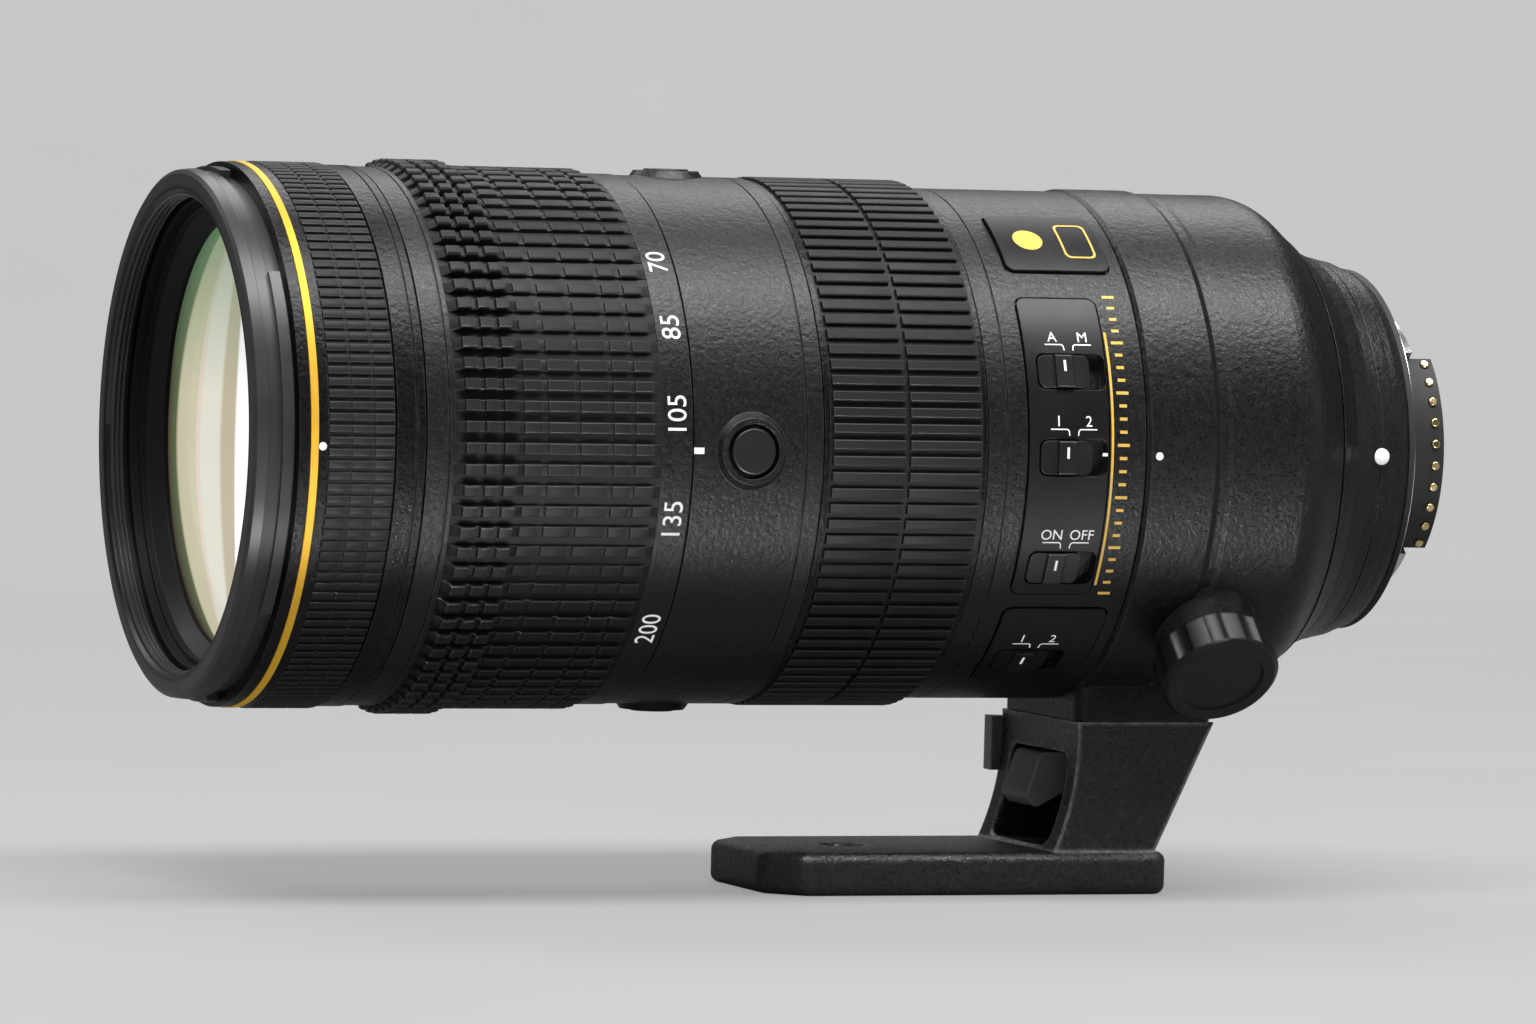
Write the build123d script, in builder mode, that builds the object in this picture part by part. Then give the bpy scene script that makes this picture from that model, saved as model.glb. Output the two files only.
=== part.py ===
"""Telephoto zoom lens on a rotating tripod collar.

The origin is the centre of the mount flange on the optical axis. +X points back towards the
camera, so the front of the lens is at negative X. +Z is up, and the switches face -Y.
Angles named "clock" turn about +X from +Y towards +Z, so the switch side is at 180 degrees.
"""

import os
from math import asin, cos, degrees, radians, sin, sqrt

from build123d import *

os.makedirs("parts", exist_ok=True)

# Lengths of the visible sections, from the mount flange forward
rear_cover_length = 16.2
collar_length = 36.7
switch_length = 27.4
focus_length = 28.2
button_length = 22.4
zoom_length = 43.9
front_length = 20.9
rim_length = 6.8

# Outer radius of the main tube, and how far each visible section rises from it
main_outer = 39.9
rim_rise = 2.1
rim_radius = main_outer + rim_rise
front_rise = 3.3
front_radius = main_outer + front_rise
zoom_rise = 3.0
zoom_radius = main_outer + zoom_rise
number_drop = 0.25
number_radius = zoom_radius - number_drop
button_rise = 2.6
button_radius = main_outer + button_rise
focus_rise = 2.3
focus_radius = main_outer + focus_rise
switch_rise = 1.6
switch_radius = main_outer + switch_rise
collar_rise = 1.7
collar_radius = main_outer + collar_rise
flange_drop = 11.0
flange_radius = main_outer - flange_drop

# Fits that many pieces share
run_gap = 0.35
slide_gap = 0.15
seat_gap = 0.05
wall = 1.2
overrun = 2.0

# Stations along the axis, all negative
collar_back = -rear_cover_length
collar_front = collar_back - collar_length
switch_front = collar_front - switch_length
focus_front = switch_front - focus_length
button_front = focus_front - button_length
zoom_front = button_front - zoom_length
front_front = zoom_front - front_length
lens_front = front_front - rim_length

# Radii of the nested tubes, from the outside in
main_wall = 1.6
main_inner = main_outer - main_wall
cam_fit_gap = 0.4
cam_outer = main_inner - cam_fit_gap
cam_wall = 1.4
cam_inner = cam_outer - cam_wall
guide_fit_gap = 0.3
guide_outer = cam_inner - guide_fit_gap
guide_inner = guide_outer - wall
cell_gap = 0.4
cell_radius = guide_inner - cell_gap


def clock(side_angle):
    """Turns a height angle on the switch side, up positive, into a clock angle."""
    return 180 - side_angle


def turned(*outline, mode=Mode.ADD):
    """Turns an outline of (x, radius) points about the optical axis."""
    with BuildSketch(Plane.XY) as profile:
        with BuildLine():
            Polyline(*outline, close=True)
        make_face()
    revolve(profile.sketch, axis=Axis.X, mode=mode)


def ring(back, front, inner, outer, mode=Mode.ADD):
    """A plain ring between two stations and two radii."""
    turned((back, inner), (back, outer), (front, outer), (front, inner), mode=mode)


def sector(back, front, inner, outer, start, end, mode=Mode.ADD):
    """A part of a ring between two clock angles."""
    low = min(start, end)
    plane = Plane((0, 0, 0), x_dir=(1, 0, 0), z_dir=(0, -sin(radians(low)), cos(radians(low))))
    with BuildSketch(plane) as profile:
        with BuildLine():
            Polyline((back, inner), (back, outer), (front, outer), (front, inner), close=True)
        make_face()
    revolve(profile.sketch, axis=Axis.X, revolution_arc=abs(end - start), mode=mode)


def radial_plane(x, radius, angle):
    """A plane that faces out from the axis at a clock angle, with its X along the lens."""
    out = (0, cos(radians(angle)), sin(radians(angle)))
    return Plane((x, radius * out[1], radius * out[2]), x_dir=(1, 0, 0), z_dir=out)


def radial_edges(part):
    """The straight edges of a sector that point out from the axis."""
    return part.edges().filter_by(GeomType.LINE).filter_by(Axis.X, reverse=True)


def lens_face(station, edge, bulge):
    """Half of a lens face, an arc centred on the axis, or a line if the face is flat."""
    if bulge:
        radius = (edge**2 + bulge**2) / abs(bulge) / 2
        sag = radius - sqrt(radius**2 - edge**2 / 4)
        middle = bulge - sag * bulge / abs(bulge)
        ThreePointArc((station + bulge, 0), (station + middle, edge / 2), (station, edge))
    else:
        Line((station, 0), (station, edge))


def lens_outline(front, back, edge, front_sag, back_sag):
    """Half the section of a lens: positive sags bulge outwards, negative ones are hollow."""
    with BuildLine() as line:
        Line((front - front_sag, 0), (back + back_sag, 0))
        lens_face(back, edge, back_sag)
        Line((back, edge), (front, edge))
        lens_face(front, edge, -front_sag)
    return line.line


def glass(front, back, edge, front_sag, back_sag):
    """A round lens element with arcs for its two faces."""
    outline = lens_outline(front, back, edge, front_sag, back_sag)
    with BuildSketch(Plane.XY) as profile:
        make_face(outline.edges())
    revolve(profile.sketch, axis=Axis.X)


def save(piece, name):
    """Names a finished piece and writes its file."""
    piece.label = name
    export_step(piece, f"parts/{name}.step")


# Front rim: a ring with the filter thread inside and the hood bayonet outside
filter_wall = 3.9
filter_radius = rim_radius - filter_wall
rim_lip = 2.2
rim_land = 2.2
rim_tab = 1.8
rim_groove_depth = 1.1
rim_bevel = 0.9
rim_mouth = 0.5
tab_rise = 0.4
tab_angle = 78
tab_count = 3
rim_spigot = 2.7
spigot_step = 2.0
spigot_radius = rim_radius - spigot_step
spigot_wall = 1.1
baffle_seat = spigot_radius - spigot_wall
baffle_set_back = 2.7
thread_relief = 0.6
lip_back = lens_front + rim_lip
land_back = lip_back + rim_land
tab_back = land_back + rim_tab
rim_groove = rim_radius - rim_groove_depth
spigot_back = front_front + rim_spigot
baffle_front = front_front - baffle_set_back
with BuildPart() as front_rim:
    turned(
        (lens_front + rim_mouth, filter_radius),
        (lens_front, filter_radius + rim_mouth),
        (lens_front, rim_radius - rim_bevel),
        (lens_front + rim_bevel / 2, rim_radius - rim_bevel / 4),
        (lip_back, rim_radius),
        (lip_back, rim_radius - tab_rise),
        (land_back, rim_radius - tab_rise),
        (land_back, rim_groove),
        (front_front, rim_groove),
        (front_front, spigot_radius),
        (spigot_back, spigot_radius),
        (spigot_back, baffle_seat),
        (baffle_front - thread_relief, baffle_seat),
        (baffle_front - thread_relief, filter_radius),
    )
    for turn in range(tab_count):
        middle = clock(0) + turn * 360 / tab_count
        sector(
            tab_back,
            land_back - seat_gap,
            rim_groove - seat_gap,
            rim_radius + tab_rise,
            middle - tab_angle / 2,
            middle + tab_angle / 2,
        )
save(front_rim.part, "front_rim")

# Front baffle: the stepped retaining ring in front of the glass
baffle_step = 1.4
baffle_second = 1.1
baffle_radius = baffle_seat - seat_gap
baffle_rim = 1.55
baffle_ridge = baffle_radius - baffle_rim
baffle_ridge_width = 1.1
baffle_inner_ridge = baffle_ridge - baffle_ridge_width
cone_width = 2.0
glass_view_radius = baffle_inner_ridge - cone_width
baffle_lip = 0.7
with BuildPart() as front_baffle:
    turned(
        (baffle_front, baffle_radius),
        (baffle_front, baffle_ridge),
        (baffle_front + baffle_step, baffle_ridge),
        (baffle_front + baffle_step, baffle_inner_ridge),
        (baffle_front + baffle_step + baffle_second, baffle_inner_ridge),
        (spigot_back - baffle_lip, glass_view_radius),
        (spigot_back, glass_view_radius),
        (spigot_back, baffle_radius),
    )
save(front_baffle.part, "front_baffle")

# Front barrel: the fixed front bands, the cell of the front group and the long main tube
gold_width = 1.3
front_band = 1.8
gold_depth = 0.8
rear_band = 1.6
front_grip_length = 10.9
grip_seat_depth = 0.7
line_width = 0.3
line_depth = 0.3
barrel_band = 4.6
element_wall = 1.45
element_seat = main_inner - element_wall
ledge_depth = 3.65
element_ledge = element_seat - ledge_depth
inner_seat_step = 2.3
inner_seat = element_seat - inner_seat_step
front_cell_depth = 6.2
ledge_width = 0.4
inner_cell_depth = 7.5
main_reach = 18.9
main_back = button_front + main_reach
key_set_back = 2.4
key_station = button_front - key_set_back
key_radius = 2.0
zoom_turn = 42.8
key_clock = 90
gold_front = front_front + front_band
gold_back = gold_front + gold_width
front_grip_front = gold_back + rear_band
front_grip_back = front_grip_front + front_grip_length
front_band_front = front_grip_back + line_width
front_back = zoom_front - run_gap
barrel_line = front_back - barrel_band / 3
cell_back = spigot_back + front_cell_depth
with BuildPart() as front_barrel:
    turned(
        (front_front, spigot_radius + seat_gap),
        (front_front, front_radius),
        (gold_front, front_radius),
        (gold_front, front_radius - gold_depth),
        (gold_back, front_radius - gold_depth),
        (gold_back, front_radius),
        (front_grip_front, front_radius),
        (front_grip_front, front_radius - grip_seat_depth),
        (front_grip_back, front_radius - grip_seat_depth),
        (front_grip_back, front_radius - grip_seat_depth - line_depth),
        (front_band_front, front_radius - grip_seat_depth - line_depth),
        (front_band_front, front_radius - line_depth / 2),
        (barrel_line, front_radius - line_depth / 2),
        (barrel_line, front_radius - line_depth * 3 / 2),
        (barrel_line + line_width, front_radius - line_depth * 3 / 2),
        (barrel_line + line_width, front_radius - line_depth / 2),
        (front_back, front_radius - line_depth / 2),
        (front_back, main_outer),
        (main_back, main_outer),
        (main_back, main_inner),
        (front_back - wall / 4, main_inner),
        (front_back - wall / 4, inner_seat),
        (cell_back + ledge_width, inner_seat),
        (cell_back + ledge_width, element_ledge),
        (cell_back, element_ledge),
        (cell_back, element_seat),
        (spigot_back + seat_gap, element_seat),
        (spigot_back + seat_gap, spigot_radius + seat_gap),
    )
    sector(
        key_station + key_radius + run_gap,
        key_station - key_radius - run_gap,
        main_inner - overrun / 4,
        main_outer + overrun,
        key_clock - zoom_turn - degrees((key_radius + run_gap) / main_inner) - overrun / 2,
        key_clock + zoom_turn + degrees((key_radius + run_gap) / main_inner) + overrun / 2,
        mode=Mode.SUBTRACT,
    )
save(front_barrel.part, "front_barrel")

# Gold ring: a thin bright band let into the front barrel
gold_rise = 0.12
with BuildPart() as gold_ring:
    ring(
        gold_back - seat_gap,
        gold_front + seat_gap,
        front_radius - gold_depth + seat_gap,
        front_radius + gold_rise,
    )
save(gold_ring.part, "gold_ring")

# Front grip: a fixed rubber band of fine bricks
front_grip_base = 0.45
front_grip_rise = 0.4
front_grip_rows = 74
front_grip_groove = 0.75
front_grip_inner = front_radius - grip_seat_depth + seat_gap
front_grip_outer = front_grip_inner + front_grip_base + front_grip_rise
with BuildPart(Plane.YZ) as front_grip:
    ring(
        front_grip_back - seat_gap,
        front_grip_front + seat_gap,
        front_grip_inner,
        front_grip_outer,
    )
    with Locations((0, 0, (front_grip_front + front_grip_back) / 2)):
        with PolarLocations(front_grip_outer, front_grip_rows):
            Box(
                front_grip_rise * 2,
                front_grip_groove,
                front_grip_length - line_width * 2,
                mode=Mode.SUBTRACT,
            )
save(front_grip.part, "front_grip")

# Front element: the large outer glass, and the inner glass of the front group
element_thickness = 5.2
element_bulge = 5.9
element_hollow = 0.8
inner_thickness = 5.0
inner_bulge = 1.2
glass_shim = 0.1
with BuildPart() as front_element:
    glass(
        cell_back - glass_shim - element_thickness,
        cell_back - glass_shim,
        element_seat - seat_gap,
        element_bulge,
        -element_hollow,
    )
save(front_element.part, "front_element")
with BuildPart() as front_inner_lens:
    glass(
        cell_back + ledge_width + glass_shim,
        cell_back + ledge_width + glass_shim + inner_thickness,
        inner_seat - seat_gap,
        -inner_bulge,
        inner_bulge / 2,
    )
save(front_inner_lens.part, "front_inner_lens")

# Zoom groups: where they stand at the stored mid zoom, how far they go and their pins
compensator_set_back = 10.0
compensator_station = main_back - compensator_set_back
variator_lead = 28.0
variator_station = compensator_station - variator_lead
variator_travel = 14.0
variator_length = 14.0
compensator_travel = 4.0
compensator_length = 10.0
pin_radius = 1.5
pin_count = 3
variator_clock = 30
compensator_clock = 90
slot_width = pin_radius * 2 + slide_gap * 2
slot_end = pin_radius + slide_gap * 2

# Guide barrel: the fixed inner tube with straight slots that stop the zoom groups turning
guide_front = front_back - wall / 4 + seat_gap
guide_back = main_back
guide_flange = 1.0
with BuildPart(Plane.YZ) as guide_barrel:
    turned(
        (guide_front, guide_inner),
        (guide_front, main_inner - seat_gap),
        (guide_front + guide_flange, main_inner - seat_gap),
        (guide_front + guide_flange, guide_outer),
        (guide_back - guide_flange, guide_outer),
        (guide_back - guide_flange, main_inner - seat_gap),
        (guide_back, main_inner - seat_gap),
        (guide_back, guide_inner),
    )
    for station, travel, first in (
        (variator_station, variator_travel, variator_clock),
        (compensator_station, compensator_travel, compensator_clock),
    ):
        with Locations((0, 0, station)):
            with PolarLocations((guide_inner + guide_outer) / 2, pin_count, start_angle=first):
                Box(wall * 3, slot_width, (travel + slot_end) * 2, mode=Mode.SUBTRACT)
save(guide_barrel.part, "guide_barrel")


def cam_cutter(station, travel, turn, first, inner, outer, width):
    """A twisted bar that cuts a cam slot of constant lead, the path of a pin in the cam tube.

    The pin is held at its clock angle and moves by travel while the tube turns by turn, so
    on the tube the slot winds back by turn over twice the travel.
    """
    middle = (inner + outer) / 2
    lead_angle = asin(travel / sqrt(travel**2 + (middle * radians(turn)) ** 2))
    half_width = degrees(width / 2 / sin(lead_angle) / middle)
    half_length = travel + slot_end
    wind = turn * half_length / travel
    start = first - wind
    steps = 8
    rim = [start - half_width + step * half_width / steps * 2 for step in range(steps + 1)]

    def arc_point(radius, angle):
        return (0, radius * cos(radians(angle)), radius * sin(radians(angle)))

    with BuildLine() as outline:
        ThreePointArc(*(arc_point(outer, rim[step]) for step in (0, steps // 2, steps)))
        Line(arc_point(outer, rim[-1]), arc_point(inner, rim[-1]))
        ThreePointArc(*(arc_point(inner, rim[step]) for step in (steps, steps // 2, 0)))
        Line(arc_point(inner, rim[0]), arc_point(outer, rim[0]))
    section = Face(Wire(outline.edges())).moved(Location((station - half_length, 0, 0)))
    return Solid.extrude_linear_with_rotation(
        section,
        center=(station - half_length, 0, 0),
        normal=(half_length * 2, 0, 0),
        angle=wind * 2,
    )


# Cam barrel: turns with the zoom ring, and its helical slots drive the pins of both groups
cam_front = guide_front + guide_flange + run_gap
cam_back = guide_back - guide_flange - run_gap
zoom_ring_gap = 0.4
zoom_inner = main_outer + zoom_ring_gap
key_reach = 1.2
with BuildPart() as cam_barrel:
    ring(cam_back, cam_front, cam_inner, cam_outer)
    for station, travel, first in (
        (variator_station, variator_travel, variator_clock),
        (compensator_station, compensator_travel, compensator_clock),
    ):
        cutter = cam_cutter(
            station, travel, zoom_turn, first, cam_inner - wall, cam_outer + wall, slot_width
        )
        for turn in range(pin_count):
            add(cutter.rotate(Axis.X, turn * 360 / pin_count), mode=Mode.SUBTRACT)
    with BuildSketch(radial_plane(key_station, cam_inner + wall / 2, key_clock)) as key_section:
        Circle(key_radius)
    extrude(key_section.sketch, amount=zoom_inner + key_reach - cam_inner - wall / 2)
save(cam_barrel.part, "cam_barrel")


def group_cell(station, length, lens_radius, first):
    """A zoom group's cell: a skirt in the guide barrel, a web with the lens seat, and pins."""
    front = station - length / 2
    back = station + length / 2
    turned(
        (front, cell_radius - wall),
        (front, cell_radius),
        (back, cell_radius),
        (back, cell_radius - wall),
        (station + wall, cell_radius - wall),
        (station + wall, lens_radius + wall * 3 / 2),
        (back - wall, lens_radius + wall * 3 / 2),
        (back - wall, lens_radius - wall),
        (back - wall * 2, lens_radius - wall),
        (back - wall * 2, lens_radius + seat_gap),
        (front + wall, lens_radius + seat_gap),
        (front + wall, lens_radius + wall * 3 / 2),
        (station - wall, lens_radius + wall * 3 / 2),
        (station - wall, cell_radius - wall),
    )
    for turn in range(pin_count):
        angle = first + turn * 360 / pin_count
        with BuildSketch(radial_plane(station, cell_radius - wall / 2, angle)) as pin:
            Circle(pin_radius)
        extrude(pin.sketch, amount=cam_outer - slide_gap - cell_radius + wall / 2)


# Variator: the group that moves most with the zoom, and its hollow glass
variator_lens_radius = 19.0
variator_hollow = 1.2
with BuildPart() as variator_cell:
    group_cell(variator_station, variator_length, variator_lens_radius, variator_clock)
save(variator_cell.part, "variator_cell")
with BuildPart() as variator_lens:
    glass(
        variator_station - variator_length / 2 + wall,
        variator_station + variator_length / 2 - wall * 2 - glass_shim,
        variator_lens_radius,
        -variator_hollow,
        -variator_hollow,
    )
save(variator_lens.part, "variator_lens")

# Compensator: the second moving group
compensator_lens_radius = 20.0
compensator_bulge = 0.9
with BuildPart() as compensator_cell:
    group_cell(
        compensator_station, compensator_length, compensator_lens_radius, compensator_clock
    )
save(compensator_cell.part, "compensator_cell")
with BuildPart() as compensator_lens:
    glass(
        compensator_station - compensator_length / 2 + wall,
        compensator_station + compensator_length / 2 - wall * 2 - glass_shim,
        compensator_lens_radius,
        compensator_bulge,
        -compensator_bulge,
    )
save(compensator_lens.part, "compensator_lens")

# Zoom ring: turns on the main tube and carries the number band and the rubber grip
zoom_band = 4.6
number_band = 5.1
zoom_seat_depth = 0.8
zoom_seat = zoom_radius - zoom_seat_depth
zoom_grip_front = zoom_front + zoom_band
zoom_grip_back = button_front - number_band
zoom_line = zoom_front + zoom_band * 3 / 4
with BuildPart() as zoom_ring:
    turned(
        (zoom_front, zoom_inner),
        (zoom_front, zoom_radius),
        (zoom_line, zoom_radius),
        (zoom_line, zoom_radius - line_depth),
        (zoom_line + line_width, zoom_radius - line_depth),
        (zoom_line + line_width, zoom_radius),
        (zoom_grip_front, zoom_radius),
        (zoom_grip_front, zoom_seat),
        (zoom_grip_back, zoom_seat),
        (zoom_grip_back, number_radius),
        (button_front, number_radius),
        (button_front, zoom_inner),
    )
    with BuildSketch(radial_plane(key_station, zoom_inner - overrun / 4, key_clock)) as key_hole:
        Circle(key_radius + seat_gap)
    extrude(key_hole.sketch, amount=key_reach + overrun / 4 + seat_gap, mode=Mode.SUBTRACT)
save(zoom_ring.part, "zoom_ring")

# Zoom grip: rubber blocks in rows, the three front rows standing higher
zoom_rows = 82
grip_base = 0.55
block_rise = 0.7
front_block_rise = 1.55
grip_groove = 1.05
grip_inner = zoom_seat + seat_gap
grip_root = grip_inner + grip_base
front_zone_share = 0.315
zoom_grip_length = zoom_grip_back - zoom_grip_front
front_zone_back = zoom_grip_front + zoom_grip_length * front_zone_share
grip_margin = 1.2
row_gap = 0.8


def block_rows(front, back, outer, inner, count, groove):
    """A toothed ring: blocks around the axis between two stations."""
    with BuildSketch(Plane.YZ.offset(front)) as teeth:
        Circle(outer)
        with PolarLocations(outer, count):
            Rectangle((outer - inner) * 2, groove, mode=Mode.SUBTRACT)
        Circle(inner - seat_gap, mode=Mode.SUBTRACT)
    extrude(teeth.sketch, amount=back - front)


with BuildPart() as zoom_grip:
    ring(zoom_grip_back - seat_gap, zoom_grip_front + seat_gap, grip_inner, grip_root)
    block_rows(
        zoom_grip_front + grip_margin,
        front_zone_back,
        grip_inner + front_block_rise + grip_base,
        grip_root,
        zoom_rows,
        grip_groove,
    )
    block_rows(
        front_zone_back + row_gap,
        zoom_grip_back - grip_margin,
        grip_root + block_rise,
        grip_root,
        zoom_rows,
        grip_groove,
    )
save(zoom_grip.part, "zoom_grip")

# Button housing: the fixed band with four function buttons, and the tube under the focus ring
button_place = 10.0
button_station = button_front + button_place
button_cap_radius = 3.65
button_flange_radius = 4.1
button_well_radius = 4.35
boss_radius = 5.25
flare_radius = 6.9
boss_rise = 0.9
button_travel = 0.5
well_depth = 1.5
well_floor = button_radius - well_depth
button_flange = 0.5
button_count = 4
focus_tube_rise = 0.4
focus_tube_outer = main_outer + focus_tube_rise
focus_tube_wall = 1.3
focus_tube_inner = focus_tube_outer - focus_tube_wall
housing_line_lead = 3.3
housing_line = focus_front - housing_line_lead
button_lip = 0.3
with BuildPart() as button_housing:
    turned(
        (button_front + run_gap, main_outer + seat_gap),
        (button_front + run_gap, button_radius),
        (housing_line, button_radius),
        (housing_line, button_radius - line_depth),
        (housing_line + line_width, button_radius - line_depth),
        (housing_line + line_width, button_radius),
        (focus_front - run_gap, button_radius),
        (focus_front - run_gap, focus_tube_outer),
        (switch_front - run_gap, focus_tube_outer),
        (switch_front - run_gap, focus_tube_inner),
        (main_back + seat_gap, focus_tube_inner),
        (main_back + seat_gap, main_outer + seat_gap),
    )
    for turn in range(button_count):
        angle = clock(0) + turn * 360 / button_count
        with BuildSketch(radial_plane(button_station, well_floor, angle)) as flare_base:
            Circle(flare_radius)
        with BuildSketch(
            radial_plane(button_station, button_radius + boss_rise, angle)
        ) as flare_top:
            Circle(boss_radius)
        loft([flare_base.sketch, flare_top.sketch])
        with BuildSketch(radial_plane(button_station, well_floor, angle)) as well:
            Circle(button_well_radius)
        extrude(well.sketch, amount=boss_rise * 2 + overrun, mode=Mode.SUBTRACT)
save(button_housing.part, "button_housing")

# Function buttons: caps that press in towards the axis
for number in range(1, button_count + 1):
    angle = clock(0) + (number - 1) * 360 / button_count
    floor = well_floor + button_travel + slide_gap
    with BuildPart() as function_button:
        with BuildSketch(radial_plane(button_station, floor, angle)) as flange:
            Circle(button_flange_radius)
        extrude(flange.sketch, amount=button_flange)
        with BuildSketch(radial_plane(button_station, floor, angle)) as cap:
            Circle(button_cap_radius)
        extrude(cap.sketch, amount=button_radius + boss_rise + button_lip - floor)
        top = function_button.faces().sort_by_distance((button_station, 0, 0))[-1]
        fillet(top.edges(), button_lip)
    save(function_button.part, f"function_button_{number}")

# Focus ring: turns without end on the focus tube
focus_ring_gap = 0.3
focus_inner = focus_tube_outer + focus_ring_gap
focus_seat_depth = 0.8
focus_seat = focus_radius - focus_seat_depth
focus_flange = 1.0
with BuildPart() as focus_ring:
    turned(
        (focus_front, focus_inner),
        (focus_front, focus_radius),
        (focus_front + focus_flange, focus_radius),
        (focus_front + focus_flange, focus_seat),
        (switch_front - run_gap * 2 - focus_flange / 2, focus_seat),
        (switch_front - run_gap * 2 - focus_flange / 2, focus_radius - line_depth),
        (switch_front - run_gap, focus_radius - line_depth),
        (switch_front - run_gap, focus_inner),
    )
save(focus_ring.part, "focus_ring")

# Focus grip: long rubber ribs, split once around the ring
focus_ribs = 104
rib_rise = 0.65
rib_groove = 0.95
focus_grip_base = 0.65
focus_split = 0.55
focus_grip_front = focus_front + focus_flange + seat_gap
focus_grip_back = switch_front - run_gap * 2 - focus_flange / 2 - seat_gap
focus_grip_inner = focus_seat + seat_gap
focus_root = focus_grip_inner + focus_grip_base
focus_split_share = 0.505
focus_middle = focus_grip_front + (focus_grip_back - focus_grip_front) * focus_split_share
with BuildPart() as focus_grip:
    ring(focus_grip_back, focus_grip_front, focus_grip_inner, focus_root)
    block_rows(
        focus_grip_front + run_gap,
        focus_middle - focus_split / 2,
        focus_root + rib_rise,
        focus_root,
        focus_ribs,
        rib_groove,
    )
    block_rows(
        focus_middle + focus_split / 2,
        focus_grip_back - run_gap,
        focus_root + rib_rise,
        focus_root,
        focus_ribs,
        rib_groove,
    )
save(focus_grip.part, "focus_grip")

# Switch panels on the fixed rear housing: angles on the switch side, up positive
panel_lead = 6.6
panel_front = switch_front + panel_lead
panel_reach = 20.9
panel_back = switch_front + panel_reach
plate_reach = 25.1
plate_back = switch_front + plate_reach
main_panel_angles = (-33.1, 36.7)
mode_panel_angles = (-64.1, -36.4)
badge_angles = (43.4, 64.0)
panel_depth = 0.8
panel_rise = 0.25
badge_rise = 0.55
panel_corner = 1.8
panel_frame = 0.35
slot_lead = 8.6
slot_front = switch_front + slot_lead
slot_length = 11.8
slot_height = 6.0
slot_corner = 1.4
slot_depth = 1.9
slot_floor = switch_radius - slot_depth
slider_length = 8.8
slider_travel = 2.4
slider_lift = 0.4
slider_base = slot_floor + slider_lift
slider_rise = 0.25
ridge_rise = 0.9
ridge_width = 3.2
slider_height = slot_height - slide_gap * 4
switch_angles = {
    "focus_mode_switch": 18.5,
    "focus_limit_switch": -0.6,
    "stabiliser_switch": -25.9,
    "stabiliser_mode_switch": -54.0,
}
housing_wall = 3.1
housing_inner = switch_radius - housing_wall
joint_spigot = 3.5
rear_tube_step = 0.9
rear_tube_outer = housing_inner - rear_tube_step
rear_web = 2.6
housing_back = collar_front - run_gap
groove_lead = 3.1
switch_groove = switch_front + groove_lead


def panel_sector(front, back, inner, outer, angles, corner, mode=Mode.ADD):
    """A curved plate with rounded corners between two heights on the switch side."""
    with BuildPart(mode=Mode.PRIVATE) as plate:
        sector(back, front, inner, outer, clock(angles[1]), clock(angles[0]))
        fillet(radial_edges(plate), corner)
    add(plate.part, mode=mode)


def switch_slot(angle, mode=Mode.SUBTRACT):
    """The rounded opening that a switch slides in."""
    with BuildSketch(
        radial_plane(slot_front + slot_length / 2, slot_floor, clock(angle))
    ) as opening:
        RectangleRounded(slot_length, slot_height, slot_corner)
    extrude(opening.sketch, amount=switch_radius - slot_floor + overrun, mode=mode)


plates = (
    (panel_front, panel_back, main_panel_angles),
    (panel_front, plate_back, mode_panel_angles),
    (panel_front, plate_back, badge_angles),
)

# Switch housing: the fixed rear shell with a pocket for each plate and slot
with BuildPart() as switch_housing:
    turned(
        (switch_front, focus_tube_outer),
        (switch_front, switch_radius),
        (switch_groove, switch_radius),
        (switch_groove, switch_radius - line_depth),
        (switch_groove + line_width, switch_radius - line_depth),
        (switch_groove + line_width, switch_radius),
        (housing_back, switch_radius),
        (housing_back, rear_tube_outer + seat_gap),
        (housing_back - rear_web, rear_tube_outer + seat_gap),
        (housing_back - rear_web, housing_inner),
        (switch_front, housing_inner),
        (switch_front - joint_spigot, housing_inner),
        (switch_front - joint_spigot, focus_tube_inner - seat_gap),
        (switch_front, focus_tube_inner - seat_gap),
    )
    for front, back, angles in plates:
        panel_sector(
            front,
            back,
            switch_radius - panel_depth,
            switch_radius + overrun,
            angles,
            panel_corner,
            mode=Mode.SUBTRACT,
        )
    for angle in switch_angles.values():
        switch_slot(angle)
save(switch_housing.part, "switch_housing")

# Switch panels: the main plate, the lower mode plate and the bare badge plate
with BuildPart() as switch_panels:
    for (front, back, angles), rise in zip(plates, (panel_rise, panel_rise, badge_rise)):
        frame_angle = degrees(panel_frame / switch_radius)
        panel_sector(
            front + panel_frame,
            back - panel_frame,
            switch_radius - panel_depth + seat_gap,
            switch_radius + rise,
            (angles[0] + frame_angle, angles[1] - frame_angle),
            panel_corner - panel_frame,
        )
    for angle in switch_angles.values():
        switch_slot(angle)
save(switch_panels.part, "switch_panels")

# Slide switches: a thumb ridge on a rounded slider, stored at the front end of each slot
for name, angle in switch_angles.items():
    middle = slot_front + slide_gap * 2 + slider_length / 2
    with BuildPart() as slide_switch:
        with BuildSketch(radial_plane(middle, slider_base, clock(angle))) as slider:
            RectangleRounded(slider_length, slider_height, slot_corner - slide_gap)
        extrude(slider.sketch, amount=switch_radius + slider_rise - slider_base)
        with BuildSketch(radial_plane(middle, slider_base, clock(angle))) as ridge:
            Rectangle(ridge_width, slider_height)
        extrude(ridge.sketch, amount=switch_radius + ridge_rise - slider_base)
        top = slide_switch.faces().sort_by_distance((middle, 0, 0))[-1]
        fillet(top.edges(), slide_gap * 2)
    save(slide_switch.part, name)

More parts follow.
